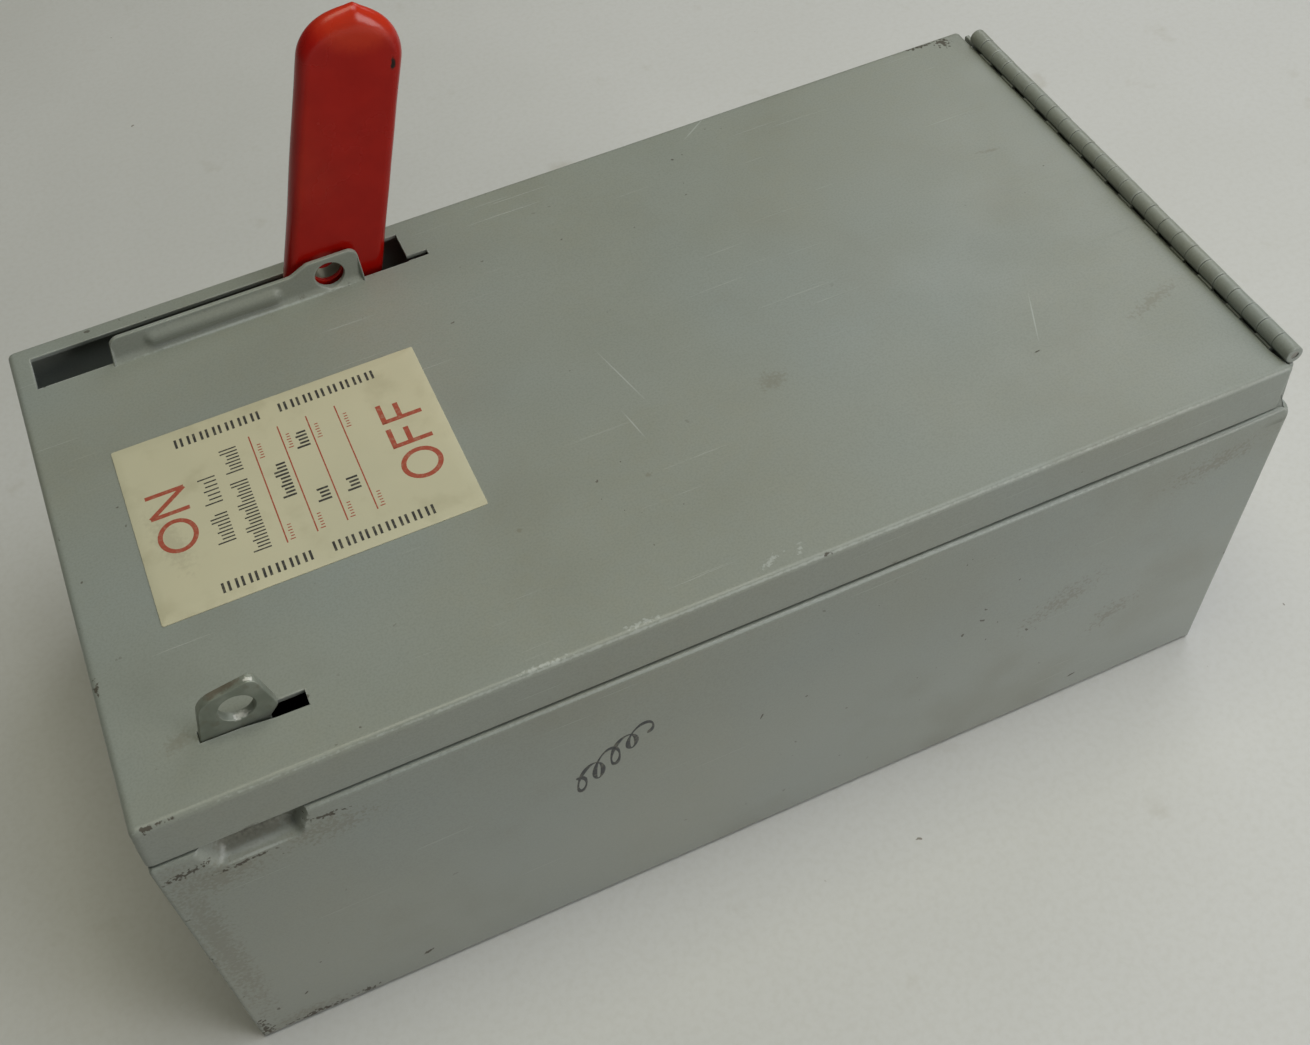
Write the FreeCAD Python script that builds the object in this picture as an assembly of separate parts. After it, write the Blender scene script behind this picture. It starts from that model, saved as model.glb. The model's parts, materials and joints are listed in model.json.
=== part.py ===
import FreeCAD, Part
import math
import os

os.makedirs("parts", exist_ok=True)

V = FreeCAD.Vector

# Frame: origin at the centre of the back face, +X towards the door hinge,
# +Y towards the handle, +Z out through the door. Lengths in millimetres.

# Case and door
sheet = 1.5
door_length = 340.0
door_width = 187.0
case_height = 128.0
skirt_depth = 15.6
bend_radius = 2.0
half_length = door_length / 2
half_width = door_width / 2
skirt_bottom_z = case_height - skirt_depth
door_under_z = case_height - sheet
shoulder_z = 110.4
lip_inset = 2.0
lip_top_z = 125.5
lip_end_x = 167.5
end_wall_top_x = 173.1
end_wall_foot_x = 163.0
end_wall_top_z = 126.5
end_flange_half_width = 89.3

# Finger notch in the near wall
notch_left_x = -156.5
notch_right_x = -131.0
notch_floor_z = 98.5
notch_depth = 6.5

# Back holes, line window and load wire opening
back_hole_r = 3.3
back_hole_spacing_x = 303.0
back_hole_spacing_y = 169.0
back_hole_centre_x = -1.5
window_left_x = -163.0
window_right_x = -144.0
window_low_y = -78.0
window_high_y = 38.0
wire_opening_low_y = -80.0
wire_opening_high_y = 40.0
wire_opening_low_z = 12.0
wire_opening_high_z = 42.0

# Door hinge
hinge_x = 172.2
hinge_z = 129.9
knuckle_r = 2.8
hinge_bore_r = 1.25
hinge_pin_r = 1.2
knuckle_count = 25
knuckle_pitch = 7.04
knuckle_gap = 0.2
hinge_start_y = -91.5
leaf_thickness = 1.2
leaf_bottom_z = 113.0

# Handle slot, slit and locking tab in the door
slot_left_x = -164.0
slot_right_x = -40.8
slot_near_y = 72.8
slot_far_y = 87.0
slit_end_x = -36.4
tab_near_y = 72.6
padlock_hole_r = 4.76
tab_hole_x = -68.6
tab_hole_z = 133.2

# Handle
handle_y = 80.0
lever_thickness = 4.8
lever_half_width = 13.7
lever_low_half_width = 12.0
lever_hub_r = 10.5
grip_half_width = 15.1
grip_thickness = 8.0
grip_start = 108.0
grip_end = 211.0
off_lean_deg = 17.2
travel_deg = 37.0
pivot_x = -102.4
pivot_z = 15.3
pivot_r = 4.0
running_gap = 0.05
crank_radius = 26.0
crank_pin_r = 3.0
interlock_radius = 92.0
stop_radius = 36.0
stop_pin_r = 2.5
bumper_r = 4.0

# Blade rotor, built with the switch closed, then turned open by the travel
rotor_x = -52.4
rotor_z = 33.3
blade_reach = 62.0
blade_half_height = 7.0
blade_thickness = 2.0
blade_pin_r = 3.0
crossbar_centre = 28.0
crossbar_half_depth = 8.0
crossbar_half_height = 10.0
crossbar_low_y = -72.0
crank_near_y = 67.5
crank_far_y = 71.5
stub_r = 5.0
link_near_y = 72.0
link_far_y = 75.0
link_end_r = 6.0

# Mechanism bracket
cheek_inner_y = 63.0
cheek_outer_y = 88.0
cheek_thickness = 2.0

# Poles and current path
pole_ys = [-64.0, -20.0, 24.0]
barrier_ys = [-86.0, -42.0, 2.0, 46.0]
barrier_half = 1.5
base_low_y = -88.0
base_high_y = 58.0
block_high_y = 48.0
base_top_z = 14.0
strap_top_z = 16.5
strap_half_width = 7.0
line_bolt_x = -153.0
line_bolt_r = 3.3
jaw_left_x = -118.0
jaw_right_x = -102.0
contact_gap = 1.05
chute_left_x = -140.0
chute_right_x = -97.0
chute_top_z = 78.0
chute_half_width = 12.5
chute_wall = 1.5
splitter_count = 5
splitter_pitch = 6.0

# Fuses and load side
fuse_start_x = -30.0
fuse_length = 127.0
fuse_axis_z = 32.0
ferrule_r = 10.3
ferrule_length = 15.9
fuse_tube_r = 9.9
clip_thickness = 1.2
clip_centre_inset = 8.0
clip_half_length = 6.0
lug_left_x = 108.0
lug_right_x = 126.0
lug_top_z = 31.0
lug_bore_z = 22.5
lug_bore_r = 4.0
lug_screw_r = 3.2

# Label and chart on the door
plate_left_x = -148.7
plate_right_x = -54.6
plate_low_y = -34.6
plate_high_y = 35.1
plate_thickness = 0.25
chart_left_x = -10.0
chart_right_x = 120.0
chart_low_y = -40.0
chart_high_y = 50.0
chart_thickness = 0.2

# Latch
latch_near_y = -74.6
latch_far_y = -71.6
latch_travel = 9.8
latch_slot_left_x = -148.6
latch_slot_right_x = -119.0
latch_slot_near_y = -76.2
latch_slot_far_y = -71.2
latch_hole_r = 4.8
latch_hole_x = -135.8
latch_hole_z = 135.5
latch_rivet_r = 2.5
latch_rivet_z = 102.0
latch_rivet_xs = [-133.0, -119.0]


def block(x0, x1, y0, y1, z0, z1):
    """Box between two corners."""
    return Part.makeBox(x1 - x0, y1 - y0, z1 - z0, V(x0, y0, z0))


def rod_y(x, z, radius, y0, y1):
    """Round bar along Y."""
    return Part.makeCylinder(radius, y1 - y0, V(x, y0, z), V(0, 1, 0))


def rod_z(x, y, radius, z0, z1):
    """Round bar along Z."""
    return Part.makeCylinder(radius, z1 - z0, V(x, y, z0), V(0, 0, 1))


def rod_x(y, z, radius, x0, x1):
    """Round bar along X."""
    return Part.makeCylinder(radius, x1 - x0, V(x0, y, z), V(1, 0, 0))


def fuse_all(shapes):
    """One clean solid from several that touch."""
    whole = shapes[0]
    for extra in shapes[1:]:
        whole = whole.fuse(extra)
    return whole.removeSplitter()


def corner_arc(before, corner, after, radius):
    """Start, middle and end of the arc that rounds a corner."""
    back = before.sub(corner).normalize()
    ahead = after.sub(corner).normalize()
    half_angle = back.getAngle(ahead) / 2
    setback = radius / math.tan(half_angle)
    centre_way = back.add(ahead).normalize()
    centre = corner.add(V(centre_way).multiply(radius / math.sin(half_angle)))
    start = corner.add(V(back).multiply(setback))
    end = corner.add(V(ahead).multiply(setback))
    middle = centre.sub(V(centre_way).multiply(radius))
    return start, middle, end


def outline(corners, y0, y1):
    """Plate from XZ corners, each with a rounding radius, between two Y planes."""
    points = [V(x, y0, z) for x, z, radius in corners]
    radii = [radius for x, z, radius in corners]
    count = len(points)
    edges = []
    joints = []
    for i in range(count):
        if radii[i] > 0:
            arc = corner_arc(points[i - 1], points[i], points[(i + 1) % count], radii[i])
            joints.append(arc)
        else:
            joints.append((points[i], None, points[i]))
    for i in range(count):
        start, middle, end = joints[i]
        if middle is not None:
            edges.append(Part.Arc(start, middle, end).toShape())
        ahead = joints[(i + 1) % count][0]
        if end.distanceToPoint(ahead) > 1e-6:
            edges.append(Part.makeLine(end, ahead))
    wire = Part.Wire(Part.__sortEdges__(edges))
    return Part.Face(wire).extrude(V(0, y1 - y0, 0))


def capsule(xa, za, xb, zb, radius, y0, y1):
    """Plate with round ends joining two points."""
    length = math.hypot(xb - xa, zb - za)
    side_x = (zb - za) / length * radius
    side_z = -(xb - xa) / length * radius
    middle = outline(
        [
            (xa + side_x, za + side_z, 0),
            (xb + side_x, zb + side_z, 0),
            (xb - side_x, zb - side_z, 0),
            (xa - side_x, za - side_z, 0),
        ],
        y0,
        y1,
    )
    return fuse_all([middle, rod_y(xa, za, radius, y0, y1), rod_y(xb, zb, radius, y0, y1)])


def edges_where(shape, test):
    """Edges of a shape whose every vertex passes a test."""
    return [e for e in shape.Edges if all(test(v.Point) for v in e.Vertexes)]


def near(a, b):
    """True when two lengths agree."""
    return abs(a - b) < 0.01


def turned(shape, x, z, degrees):
    """Shape turned about a Y line through (x, z)."""
    moved = shape.copy()
    moved.rotate(V(x, 0, z), V(0, 1, 0), degrees)
    return moved


def lean_point(radius, side, lean_deg):
    """Point on the handle: distance up the lever, distance to its +X side, lever lean."""
    lean = math.radians(lean_deg)
    x = pivot_x + radius * math.sin(lean) + side * math.cos(lean)
    z = pivot_z + radius * math.cos(lean) - side * math.sin(lean)
    return x, z


def export(name, shapes):
    """Write one node; several solids stay separate inside it."""
    shape = shapes[0] if len(shapes) == 1 else Part.makeCompound(shapes)
    shape.exportStep("parts/" + name + ".step")


# ---------------------------------------------------------------- case


def screw_places():
    """Where the insulating bases are screwed to the back."""
    switch_places = [(-132.0, 53.0), (-42.0, 53.0), (-95.0, -47.5), (-42.0, -47.5)]
    fuse_places = [(10.0, -47.5), (80.0, -47.5), (10.0, -4.5), (80.0, -4.5)]
    return switch_places + fuse_places


def bracket_rivet_places():
    """Where the mechanism bracket is riveted to the back."""
    return [(-124.0, 75.5), (-76.0, 75.5), (-52.0, 75.5)]


def back_hole_places():
    """Four mounting holes in the back."""
    half_x = back_hole_spacing_x / 2
    half_y = back_hole_spacing_y / 2
    return [(back_hole_centre_x + i * half_x, j * half_y) for i in (-1, 1) for j in (-1, 1)]


def housing_pan():
    """Folded case: lower walls, joggled lip, finger notch and a leaning end wall."""
    lower = outline(
        [
            (-half_length, 0, 0),
            (end_wall_foot_x, 0, 0),
            (end_wall_top_x, shoulder_z, 0),
            (-half_length, shoulder_z, 0),
        ],
        -half_width,
        half_width,
    )
    lower = lower.makeFillet(bend_radius, edges_where(lower, lambda p: near(p.z, 0)))
    upright = edges_where(
        lower, lambda p: near(p.x, -half_length) and near(abs(p.y), half_width)
    )
    lower = lower.makeFillet(1.4, upright)
    lip_left = -half_length + lip_inset
    lip_half_width = half_width - lip_inset
    lip = block(lip_left, lip_end_x, -lip_half_width, lip_half_width, 90, lip_top_z)
    end_lip = block(
        lip_end_x - 4, end_wall_top_x, -lip_half_width, lip_half_width, 100, end_wall_top_z
    )
    slope = (end_wall_top_x - end_wall_foot_x) / shoulder_z
    wall_x = sheet * math.hypot(1, slope)
    lower_hollow = outline(
        [
            (-half_length + sheet, sheet, 0),
            (end_wall_foot_x + slope * sheet - wall_x, sheet, 0),
            (end_wall_top_x - wall_x, shoulder_z - sheet, 0),
            (-half_length + sheet, shoulder_z - sheet, 0),
        ],
        -half_width + sheet,
        half_width - sheet,
    )
    upper_hollow = block(
        lip_left + sheet,
        end_wall_top_x - sheet,
        -lip_half_width + sheet,
        lip_half_width - sheet,
        shoulder_z - 3,
        case_height,
    )
    hinge_gap = block(
        lip_end_x,
        end_wall_top_x - sheet,
        -half_width - 1,
        half_width + 1,
        shoulder_z,
        case_height,
    )
    pan = lower.fuse(lip).fuse(end_lip).cut(lower_hollow).cut(upper_hollow).cut(hinge_gap)
    notch_wall = outline(
        [
            (notch_left_x - sheet, notch_floor_z - sheet, 6),
            (notch_right_x + sheet, notch_floor_z - sheet, 6),
            (notch_right_x + sheet, lip_top_z, 0),
            (notch_left_x - sheet, lip_top_z, 0),
        ],
        -lip_half_width,
        -half_width + notch_depth + sheet,
    )
    notch = outline(
        [
            (notch_left_x, notch_floor_z, 5),
            (notch_right_x, notch_floor_z, 5),
            (notch_right_x, case_height, 0),
            (notch_left_x, case_height, 0),
        ],
        -half_width - 1,
        -half_width + notch_depth,
    )
    pan = pan.fuse(notch_wall).cut(notch)
    for x, y in back_hole_places():
        pan = pan.cut(rod_z(x, y, back_hole_r, -1, 5))
    for x, y in screw_places():
        pan = pan.cut(rod_z(x, y, 2.0, -1, 5))
    for x, y in bracket_rivet_places():
        pan = pan.cut(rod_z(x, y, 2.2, -1, 5))
    pan = pan.cut(
        block(window_left_x, window_right_x, window_low_y, window_high_y, -1, 5)
    )
    pan = pan.cut(
        block(
            155, 180, wire_opening_low_y, wire_opening_high_y,
            wire_opening_low_z, wire_opening_high_z,
        )
    )
    return pan.removeSplitter()


def knuckle_span(index):
    """Y span of one hinge knuckle."""
    start = hinge_start_y + index * knuckle_pitch
    return start + knuckle_gap / 2, start + knuckle_pitch - knuckle_gap / 2


def hinge_leaf(first, leaf_x, strip_low_y, strip_top_z, tab_top_z):
    """One hinge leaf with every second knuckle, starting from the given one."""
    end_y = hinge_start_y + knuckle_count * knuckle_pitch
    strip = block(
        leaf_x, leaf_x + leaf_thickness, strip_low_y, end_y, leaf_bottom_z, strip_top_z
    )
    shapes = [strip]
    for index in range(first, knuckle_count, 2):
        y0, y1 = knuckle_span(index)
        tab_start = max(y0, strip_low_y)
        shapes.append(rod_y(hinge_x, hinge_z, knuckle_r, y0, y1))
        shapes.append(
            block(leaf_x, leaf_x + leaf_thickness, tab_start, y1, strip_top_z - 1, tab_top_z)
        )
    leaf = fuse_all(shapes)
    bore = rod_y(hinge_x, hinge_z, hinge_bore_r, hinge_start_y - 1, end_y + 1)
    return leaf.cut(bore)


def body_hinge_leaf():
    """Hinge leaf on the outside of the case end wall."""
    return hinge_leaf(0, end_wall_top_x, hinge_start_y + 0.1, 126.6, hinge_z - 2.0)


def door_hinge_leaf():
    """Hinge leaf on the outside of the door end flange."""
    return hinge_leaf(1, half_length, -end_flange_half_width, 126.8, hinge_z - 1.9)


def hinge_pin():
    """Pin through all the knuckles."""
    end_y = hinge_start_y + knuckle_count * knuckle_pitch
    return rod_y(hinge_x, hinge_z, hinge_pin_r, hinge_start_y + 0.3, end_y - 0.3)


# ---------------------------------------------------------------- door


def locking_tab():
    """Tab bent up beside the handle slot, with a pressed rib and a padlock hole."""
    low = door_under_z + 0.1
    far_y = tab_near_y + sheet
    tab = outline(
        [
            (-140.4, low, 0),
            (-138.8, case_height + 9.0, 2.2),
            (-80.6, case_height + 9.0, 4),
            (-74.8, case_height + 11.9, 4),
            (-58.4, case_height + 11.9, 3),
            (-58.4, low, 0),
        ],
        tab_near_y,
        far_y,
    )
    rib_z = case_height + 4.8
    rib = capsule(-126.2, rib_z, -87.2, rib_z, 2.4, tab_near_y - 0.9, tab_near_y + 0.3)
    rib_back = capsule(-126.2, rib_z, -87.2, rib_z, 1.5, far_y - 0.8, far_y + 0.1)
    hole = rod_y(tab_hole_x, tab_hole_z, padlock_hole_r, tab_near_y - 1, far_y + 1)
    return tab.fuse(rib).cut(rib_back).cut(hole)


def door_panel():
    """Door with skirt on four sides, handle slot, latch slot and locking tab."""
    outer = block(
        -half_length, half_length, -half_width, half_width, skirt_bottom_z, case_height
    )
    bends = edges_where(
        outer, lambda p: near(p.x, -half_length) and near(abs(p.y), half_width)
    )
    bends += edges_where(outer, lambda p: near(p.z, case_height))
    outer = outer.makeFillet(bend_radius, bends)
    hollow = block(
        -half_length + sheet,
        half_length - sheet,
        -half_width + sheet,
        half_width - sheet,
        skirt_bottom_z - 1,
        door_under_z,
    )
    door = outer.cut(hollow)
    for side in (-1, 1):
        inner = side * end_flange_half_width
        outer_y = side * (half_width - sheet)
        relief = block(
            half_length - sheet - 0.1,
            half_length + 0.1,
            min(inner, outer_y),
            max(inner, outer_y),
            skirt_bottom_z - 1,
            door_under_z,
        )
        door = door.cut(relief)
    slot = block(slot_left_x, slot_right_x, slot_near_y, slot_far_y, 120, 135)
    slit = block(slot_right_x - 1, slit_end_x, 73.1, 75.4, 120, 135)
    latch_slot = block(
        latch_slot_left_x, latch_slot_right_x, latch_slot_near_y, latch_slot_far_y, 120, 135
    )
    return fuse_all([door.cut(slot).cut(slit).cut(latch_slot), locking_tab()])


def nameplate():
    """Flat label stuck on the door."""
    top_z = case_height + plate_thickness
    return block(plate_left_x, plate_right_x, plate_low_y, plate_high_y, case_height, top_z)


def fuse_chart_label():
    """Paper chart stuck under the door."""
    low_z = door_under_z - chart_thickness
    return block(chart_left_x, chart_right_x, chart_low_y, chart_high_y, low_z, door_under_z)


def interlock_catch():
    """Hook under the door that the handle's interlock pin enters when the switch is on."""
    hook = outline(
        [
            (-150, door_under_z, 0),
            (-150, 94, 3),
            (-128, 94, 2),
            (-128, 98, 1),
            (-138, 98, 3),
            (-138, 109.5, 3),
            (-128, 111, 1),
            (-128, door_under_z, 0),
        ],
        69.5,
        71.5,
    )
    flange = block(-150, -128, 59, 71.5, door_under_z - 1.6, door_under_z)
    return fuse_all([hook, flange])


# ---------------------------------------------------------------- handle


def lever_blank():
    """Flat steel lever, standing upright over its pivot."""
    low_y = handle_y - lever_thickness / 2
    high_y = handle_y + lever_thickness / 2
    top = pivot_z + grip_end - 1.8
    tip_r = lever_half_width - 0.05
    bar = outline(
        [
            (pivot_x - 9.0, pivot_z, 0),
            (pivot_x - lever_low_half_width, pivot_z + 18, 0),
            (pivot_x - lever_low_half_width, pivot_z + 62, 0),
            (pivot_x - lever_half_width, pivot_z + 100, 0),
            (pivot_x - lever_half_width, top, tip_r),
            (pivot_x + lever_half_width, top, tip_r),
            (pivot_x + lever_half_width, pivot_z + 100, 0),
            (pivot_x + lever_low_half_width, pivot_z + 62, 0),
            (pivot_x + lever_low_half_width, pivot_z + 18, 0),
            (pivot_x + 9.0, pivot_z, 0),
        ],
        low_y,
        high_y,
    )
    return fuse_all([bar, rod_y(pivot_x, pivot_z, lever_hub_r, low_y, high_y)])


def handle_hole(radius):
    """Round cutter through lever and grip, in line with the locking tab hole."""
    return rod_y(tab_hole_x, tab_hole_z, radius, handle_y - 10, handle_y + 10)


def handle_lever():
    """Lever leaning to the off side, with pivot, crank, interlock and padlock holes."""
    low_y = handle_y - 5
    high_y = handle_y + 5
    lever = lever_blank()
    for radius, height in (
        (pivot_r + running_gap, 0),
        (crank_pin_r, crank_radius),
        (crank_pin_r, interlock_radius),
    ):
        lever = lever.cut(rod_y(pivot_x, pivot_z + height, radius, low_y, high_y))
    lever = turned(lever, pivot_x, pivot_z, off_lean_deg)
    return lever.cut(handle_hole(padlock_hole_r))


def handle_grip():
    """Dipped vinyl sleeve with a round top, soft edges and a drip nub at the tip."""
    low_y = handle_y - grip_thickness / 2
    high_y = handle_y + grip_thickness / 2
    top = pivot_z + grip_end
    start = pivot_z + grip_start
    tip_r = grip_half_width - 0.05
    sleeve = outline(
        [
            (pivot_x - grip_half_width, start, 1.5),
            (pivot_x - grip_half_width, top, tip_r),
            (pivot_x + grip_half_width, top, tip_r),
            (pivot_x + grip_half_width, start, 1.5),
        ],
        low_y,
        high_y,
    )
    rims = [
        e
        for e in sleeve.Edges
        if all(near(v.Y, low_y) or near(v.Y, high_y) for v in e.Vertexes)
        and near(e.Vertexes[0].Y, e.Vertexes[-1].Y)
        and e.BoundBox.ZMax > start + 1.6
    ]
    sleeve = sleeve.makeFillet(2.6, rims)
    nub = Part.makeCone(3.6, 1.0, 3.4, V(pivot_x + 0.4, handle_y, top - 1.0), V(0, 0, 1))
    sleeve = sleeve.fuse(nub).cut(lever_blank())
    sleeve = turned(sleeve, pivot_x, pivot_z, off_lean_deg)
    return sleeve.cut(handle_hole(padlock_hole_r + 0.7))


def lever_crank_pin():
    """Headed pin in the lever that drives the link."""
    x, z = lean_point(crank_radius, 0, off_lean_deg)
    shank = rod_y(x, z, crank_pin_r, 71.8, handle_y + lever_thickness / 2)
    head = rod_y(x, z, 4.5, 70.4, 71.9)
    return fuse_all([shank, head])


def interlock_pin():
    """Pin in the lever that enters the door catch when the switch is on."""
    x, z = lean_point(interlock_radius, 0, off_lean_deg)
    shank = rod_y(x, z, crank_pin_r, 68.5, handle_y + lever_thickness / 2)
    collar = rod_y(x, z, 4.5, 75.8, handle_y - lever_thickness / 2)
    return fuse_all([shank, collar])


def lever_spring():
    """Wire spring: one open turn round the outer spacer and a leg lying along the lever."""
    wire_r = 0.8
    coil_r = 7.8
    coil_y = handle_y + lever_thickness / 2 + wire_r + 0.2
    circle = Part.makeCircle(wire_r, V(pivot_x + coil_r, coil_y, pivot_z), V(0, 0, 1))
    section = Part.Face(Part.Wire([circle]))
    turn = section.revolve(V(pivot_x, coil_y, pivot_z), V(0, 1, 0), 300)
    leg = Part.makeCylinder(wire_r, 24.0, V(pivot_x + coil_r, coil_y, pivot_z), V(0, 0, 1))
    return turned(turn.fuse(leg), pivot_x, pivot_z, off_lean_deg)


# ---------------------------------------------------------------- mechanism


def mechanism_bracket():
    """U-shaped bracket with two cheeks that carries the handle and the rotor stub."""
    foot = block(-133, -40, cheek_inner_y, cheek_outer_y, sheet, sheet + 2)
    inner_high = cheek_inner_y + cheek_thickness
    outer_low = cheek_outer_y - cheek_thickness
    inner_cheek = fuse_all(
        [
            outline(
                [(-133, sheet, 0), (-40, sheet, 0), (-40, 9, 3), (-133, 9, 3)],
                cheek_inner_y,
                inner_high,
            ),
            capsule(pivot_x, 10, pivot_x, pivot_z, 8.4, cheek_inner_y, inner_high),
            capsule(rotor_x, 12, rotor_x, rotor_z, 9.0, cheek_inner_y, inner_high),
        ]
    )
    outer_cheek = outline(
        [(-134, sheet, 0), (-70, sheet, 0), (-70, 46, 7), (-134, 46, 7)],
        outer_low,
        cheek_outer_y,
    )
    bracket = fuse_all([foot, inner_cheek, outer_cheek])
    bracket = bracket.cut(rod_y(pivot_x, pivot_z, pivot_r, 60, 90))
    bracket = bracket.cut(rod_y(rotor_x, rotor_z, stub_r + running_gap, 60, 70))
    for x, z in stop_places():
        bracket = bracket.cut(rod_y(x, z, stop_pin_r, 80, 90))
    for x, y in bracket_rivet_places():
        bracket = bracket.cut(rod_z(x, y, 2.2, 0, 5))
    return bracket


def stop_places():
    """Centres of the off stop and the on stop."""
    side = lever_low_half_width + bumper_r + 0.15
    off_place = lean_point(stop_radius, side, off_lean_deg)
    on_place = lean_point(stop_radius, -side, off_lean_deg - travel_deg)
    return [off_place, on_place]


def stop_pins():
    """Pins on the outer cheek that end the handle's travel."""
    return [rod_y(x, z, stop_pin_r, 77.0, cheek_outer_y) for x, z in stop_places()]


def stop_bumpers():
    """Rubber sleeves on the stop pins."""
    sleeves = []
    for x, z in stop_places():
        sleeve = rod_y(x, z, bumper_r, 77.2, 84.0)
        sleeves.append(sleeve.cut(rod_y(x, z, stop_pin_r, 76, 85)))
    return sleeves


def bracket_rivets():
    """Round-head rivets that hold the bracket to the back."""
    rivets = []
    for x, y in bracket_rivet_places():
        shank = rod_z(x, y, 2.2, 0.2, sheet + 2.1)
        head = rod_z(x, y, 3.8, sheet + 2, sheet + 3.1)
        top_edge = [e for e in head.Edges if near(e.CenterOfMass.z, sheet + 3.1)]
        head = head.makeFillet(0.8, top_edge)
        rivets.append(fuse_all([shank, head]))
    return rivets


def pivot_pin():
    """Headed pin the handle turns on."""
    shank = rod_y(pivot_x, pivot_z, pivot_r, cheek_inner_y - 0.2, 89.6)
    head = rod_y(pivot_x, pivot_z, 6.2, cheek_inner_y - 1.8, cheek_inner_y)
    return fuse_all([shank, head])


def pivot_rings():
    """Push-on ring at the outer end of the pivot pin."""
    ring = rod_y(pivot_x, pivot_z, 6.5, cheek_outer_y, cheek_outer_y + 1.0)
    return ring.cut(rod_y(pivot_x, pivot_z, pivot_r, 80, 92))


def pivot_spacers():
    """Sleeves that keep the lever in the middle of the bracket."""
    inner = rod_y(pivot_x, pivot_z, 7.0, cheek_inner_y + 2, handle_y - lever_thickness / 2 - 0.1)
    outer = rod_y(pivot_x, pivot_z, 5.6, handle_y + lever_thickness / 2 + 0.1, cheek_outer_y - 2)
    bore = rod_y(pivot_x, pivot_z, pivot_r, 60, 90)
    return [inner.cut(bore), outer.cut(bore)]


def drive_link():
    """Link that joins the lever crank pin to the rotor crank pin."""
    xa, za = lean_point(crank_radius, 0, off_lean_deg)
    xb = xa + rotor_x - pivot_x
    zb = za + rotor_z - pivot_z
    link = capsule(xa, za, xb, zb, link_end_r, link_near_y, link_far_y)
    for x, z in ((xa, za), (xb, zb)):
        link = link.cut(rod_y(x, z, crank_pin_r + running_gap, 70, 78))
    return link


# ---------------------------------------------------------------- rotor


def opened(shape):
    """Turn a rotor piece from closed to open."""
    return turned(shape, rotor_x, rotor_z, travel_deg)


def rotor_crank_place():
    """Crank pin centre with the switch closed."""
    lean = math.radians(off_lean_deg - travel_deg)
    x = rotor_x + crank_radius * math.sin(lean)
    z = rotor_z + crank_radius * math.cos(lean)
    return x, z


def blade_blank(y):
    """One closed knife blade."""
    tip_x = rotor_x - blade_reach
    blade = outline(
        [
            (rotor_x + blade_half_height, rotor_z - blade_half_height, 6.9),
            (rotor_x + blade_half_height, rotor_z + blade_half_height, 6.9),
            (tip_x, rotor_z + blade_half_height, 2),
            (tip_x, rotor_z - blade_half_height, 5),
        ],
        y - blade_thickness / 2,
        y + blade_thickness / 2,
    )
    return blade.cut(rod_y(rotor_x, rotor_z, blade_pin_r + running_gap, y - 3, y + 3))


def knife_blades():
    """Three copper blades."""
    return [opened(blade_blank(y)) for y in pole_ys]


def crossbar_box():
    """Plain bar, closed position."""
    centre_x = rotor_x - crossbar_centre
    return block(
        centre_x - crossbar_half_depth,
        centre_x + crossbar_half_depth,
        crossbar_low_y,
        crank_near_y,
        rotor_z - crossbar_half_height,
        rotor_z + crossbar_half_height,
    )


def blade_crossbar():
    """Moulded bar across the three blades."""
    bar = crossbar_box()
    long_edges = [e for e in bar.Edges if e.Length > 100]
    bar = bar.makeFillet(1.8, long_edges)
    centre_x = rotor_x - crossbar_centre
    for y in pole_ys:
        bar = bar.cut(blade_blank(y))
        bar = bar.cut(rod_z(centre_x, y, 1.9, rotor_z, rotor_z + 20))
    for z in (rotor_z - 5, rotor_z + 5):
        bar = bar.cut(rod_y(centre_x, z, 2.0, crank_near_y - 10, crank_near_y + 1))
    return opened(bar)


def blade_set_screws():
    """Screws through the crossbar onto the blades."""
    centre_x = rotor_x - crossbar_centre
    top = rotor_z + crossbar_half_height
    screws = []
    for y in pole_ys:
        shank = rod_z(centre_x, y, 1.9, rotor_z + blade_half_height, top)
        head = rod_z(centre_x, y, 3.6, top, top + 2.4)
        slot = block(centre_x - 5, centre_x + 5, y - 0.5, y + 0.5, top + 1.3, top + 3)
        screws.append(opened(fuse_all([shank, head]).cut(slot)))
    return screws


def rotor_crank():
    """Steel crank on the end of the crossbar, with a stub that turns in the bracket."""
    pin_x, pin_z = rotor_crank_place()
    plate = outline(
        [
            (rotor_x - 38, rotor_z - 10.5, 5),
            (rotor_x - 38, rotor_z + 9, 6),
            (pin_x - 7, pin_z + 6.5, 6),
            (pin_x + 6.5, pin_z + 6.5, 6),
            (rotor_x + 9, rotor_z + 7, 7),
            (rotor_x + 9, rotor_z - 9, 8),
            (rotor_x - 14, rotor_z - 10.5, 6),
        ],
        crank_near_y,
        crank_far_y,
    )
    stub = rod_y(rotor_x, rotor_z, stub_r, 60.4, crank_near_y + 1)
    shoulder = rod_y(rotor_x, rotor_z, 7.5, cheek_inner_y + 2.15, crank_near_y + 1)
    crank = fuse_all([plate, shoulder, stub])
    crank = crank.cut(rod_y(pin_x, pin_z, crank_pin_r, 66, 73))
    centre_x = rotor_x - crossbar_centre
    for z in (rotor_z - 5, rotor_z + 5):
        crank = crank.cut(rod_y(centre_x, z, 2.0, 66, 73))
        crank = crank.cut(rod_y(centre_x, z, 3.6, crank_far_y - 2, 73))
    return opened(crank)


def crank_screws():
    """Flush screws that hold the crank to the crossbar."""
    centre_x = rotor_x - crossbar_centre
    screws = []
    for z in (rotor_z - 5, rotor_z + 5):
        shank = rod_y(centre_x, z, 2.0, crank_near_y - 10, crank_far_y - 2)
        head = rod_y(centre_x, z, 3.6, crank_far_y - 2, crank_far_y)
        screws.append(opened(fuse_all([shank, head])))
    return screws


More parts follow.
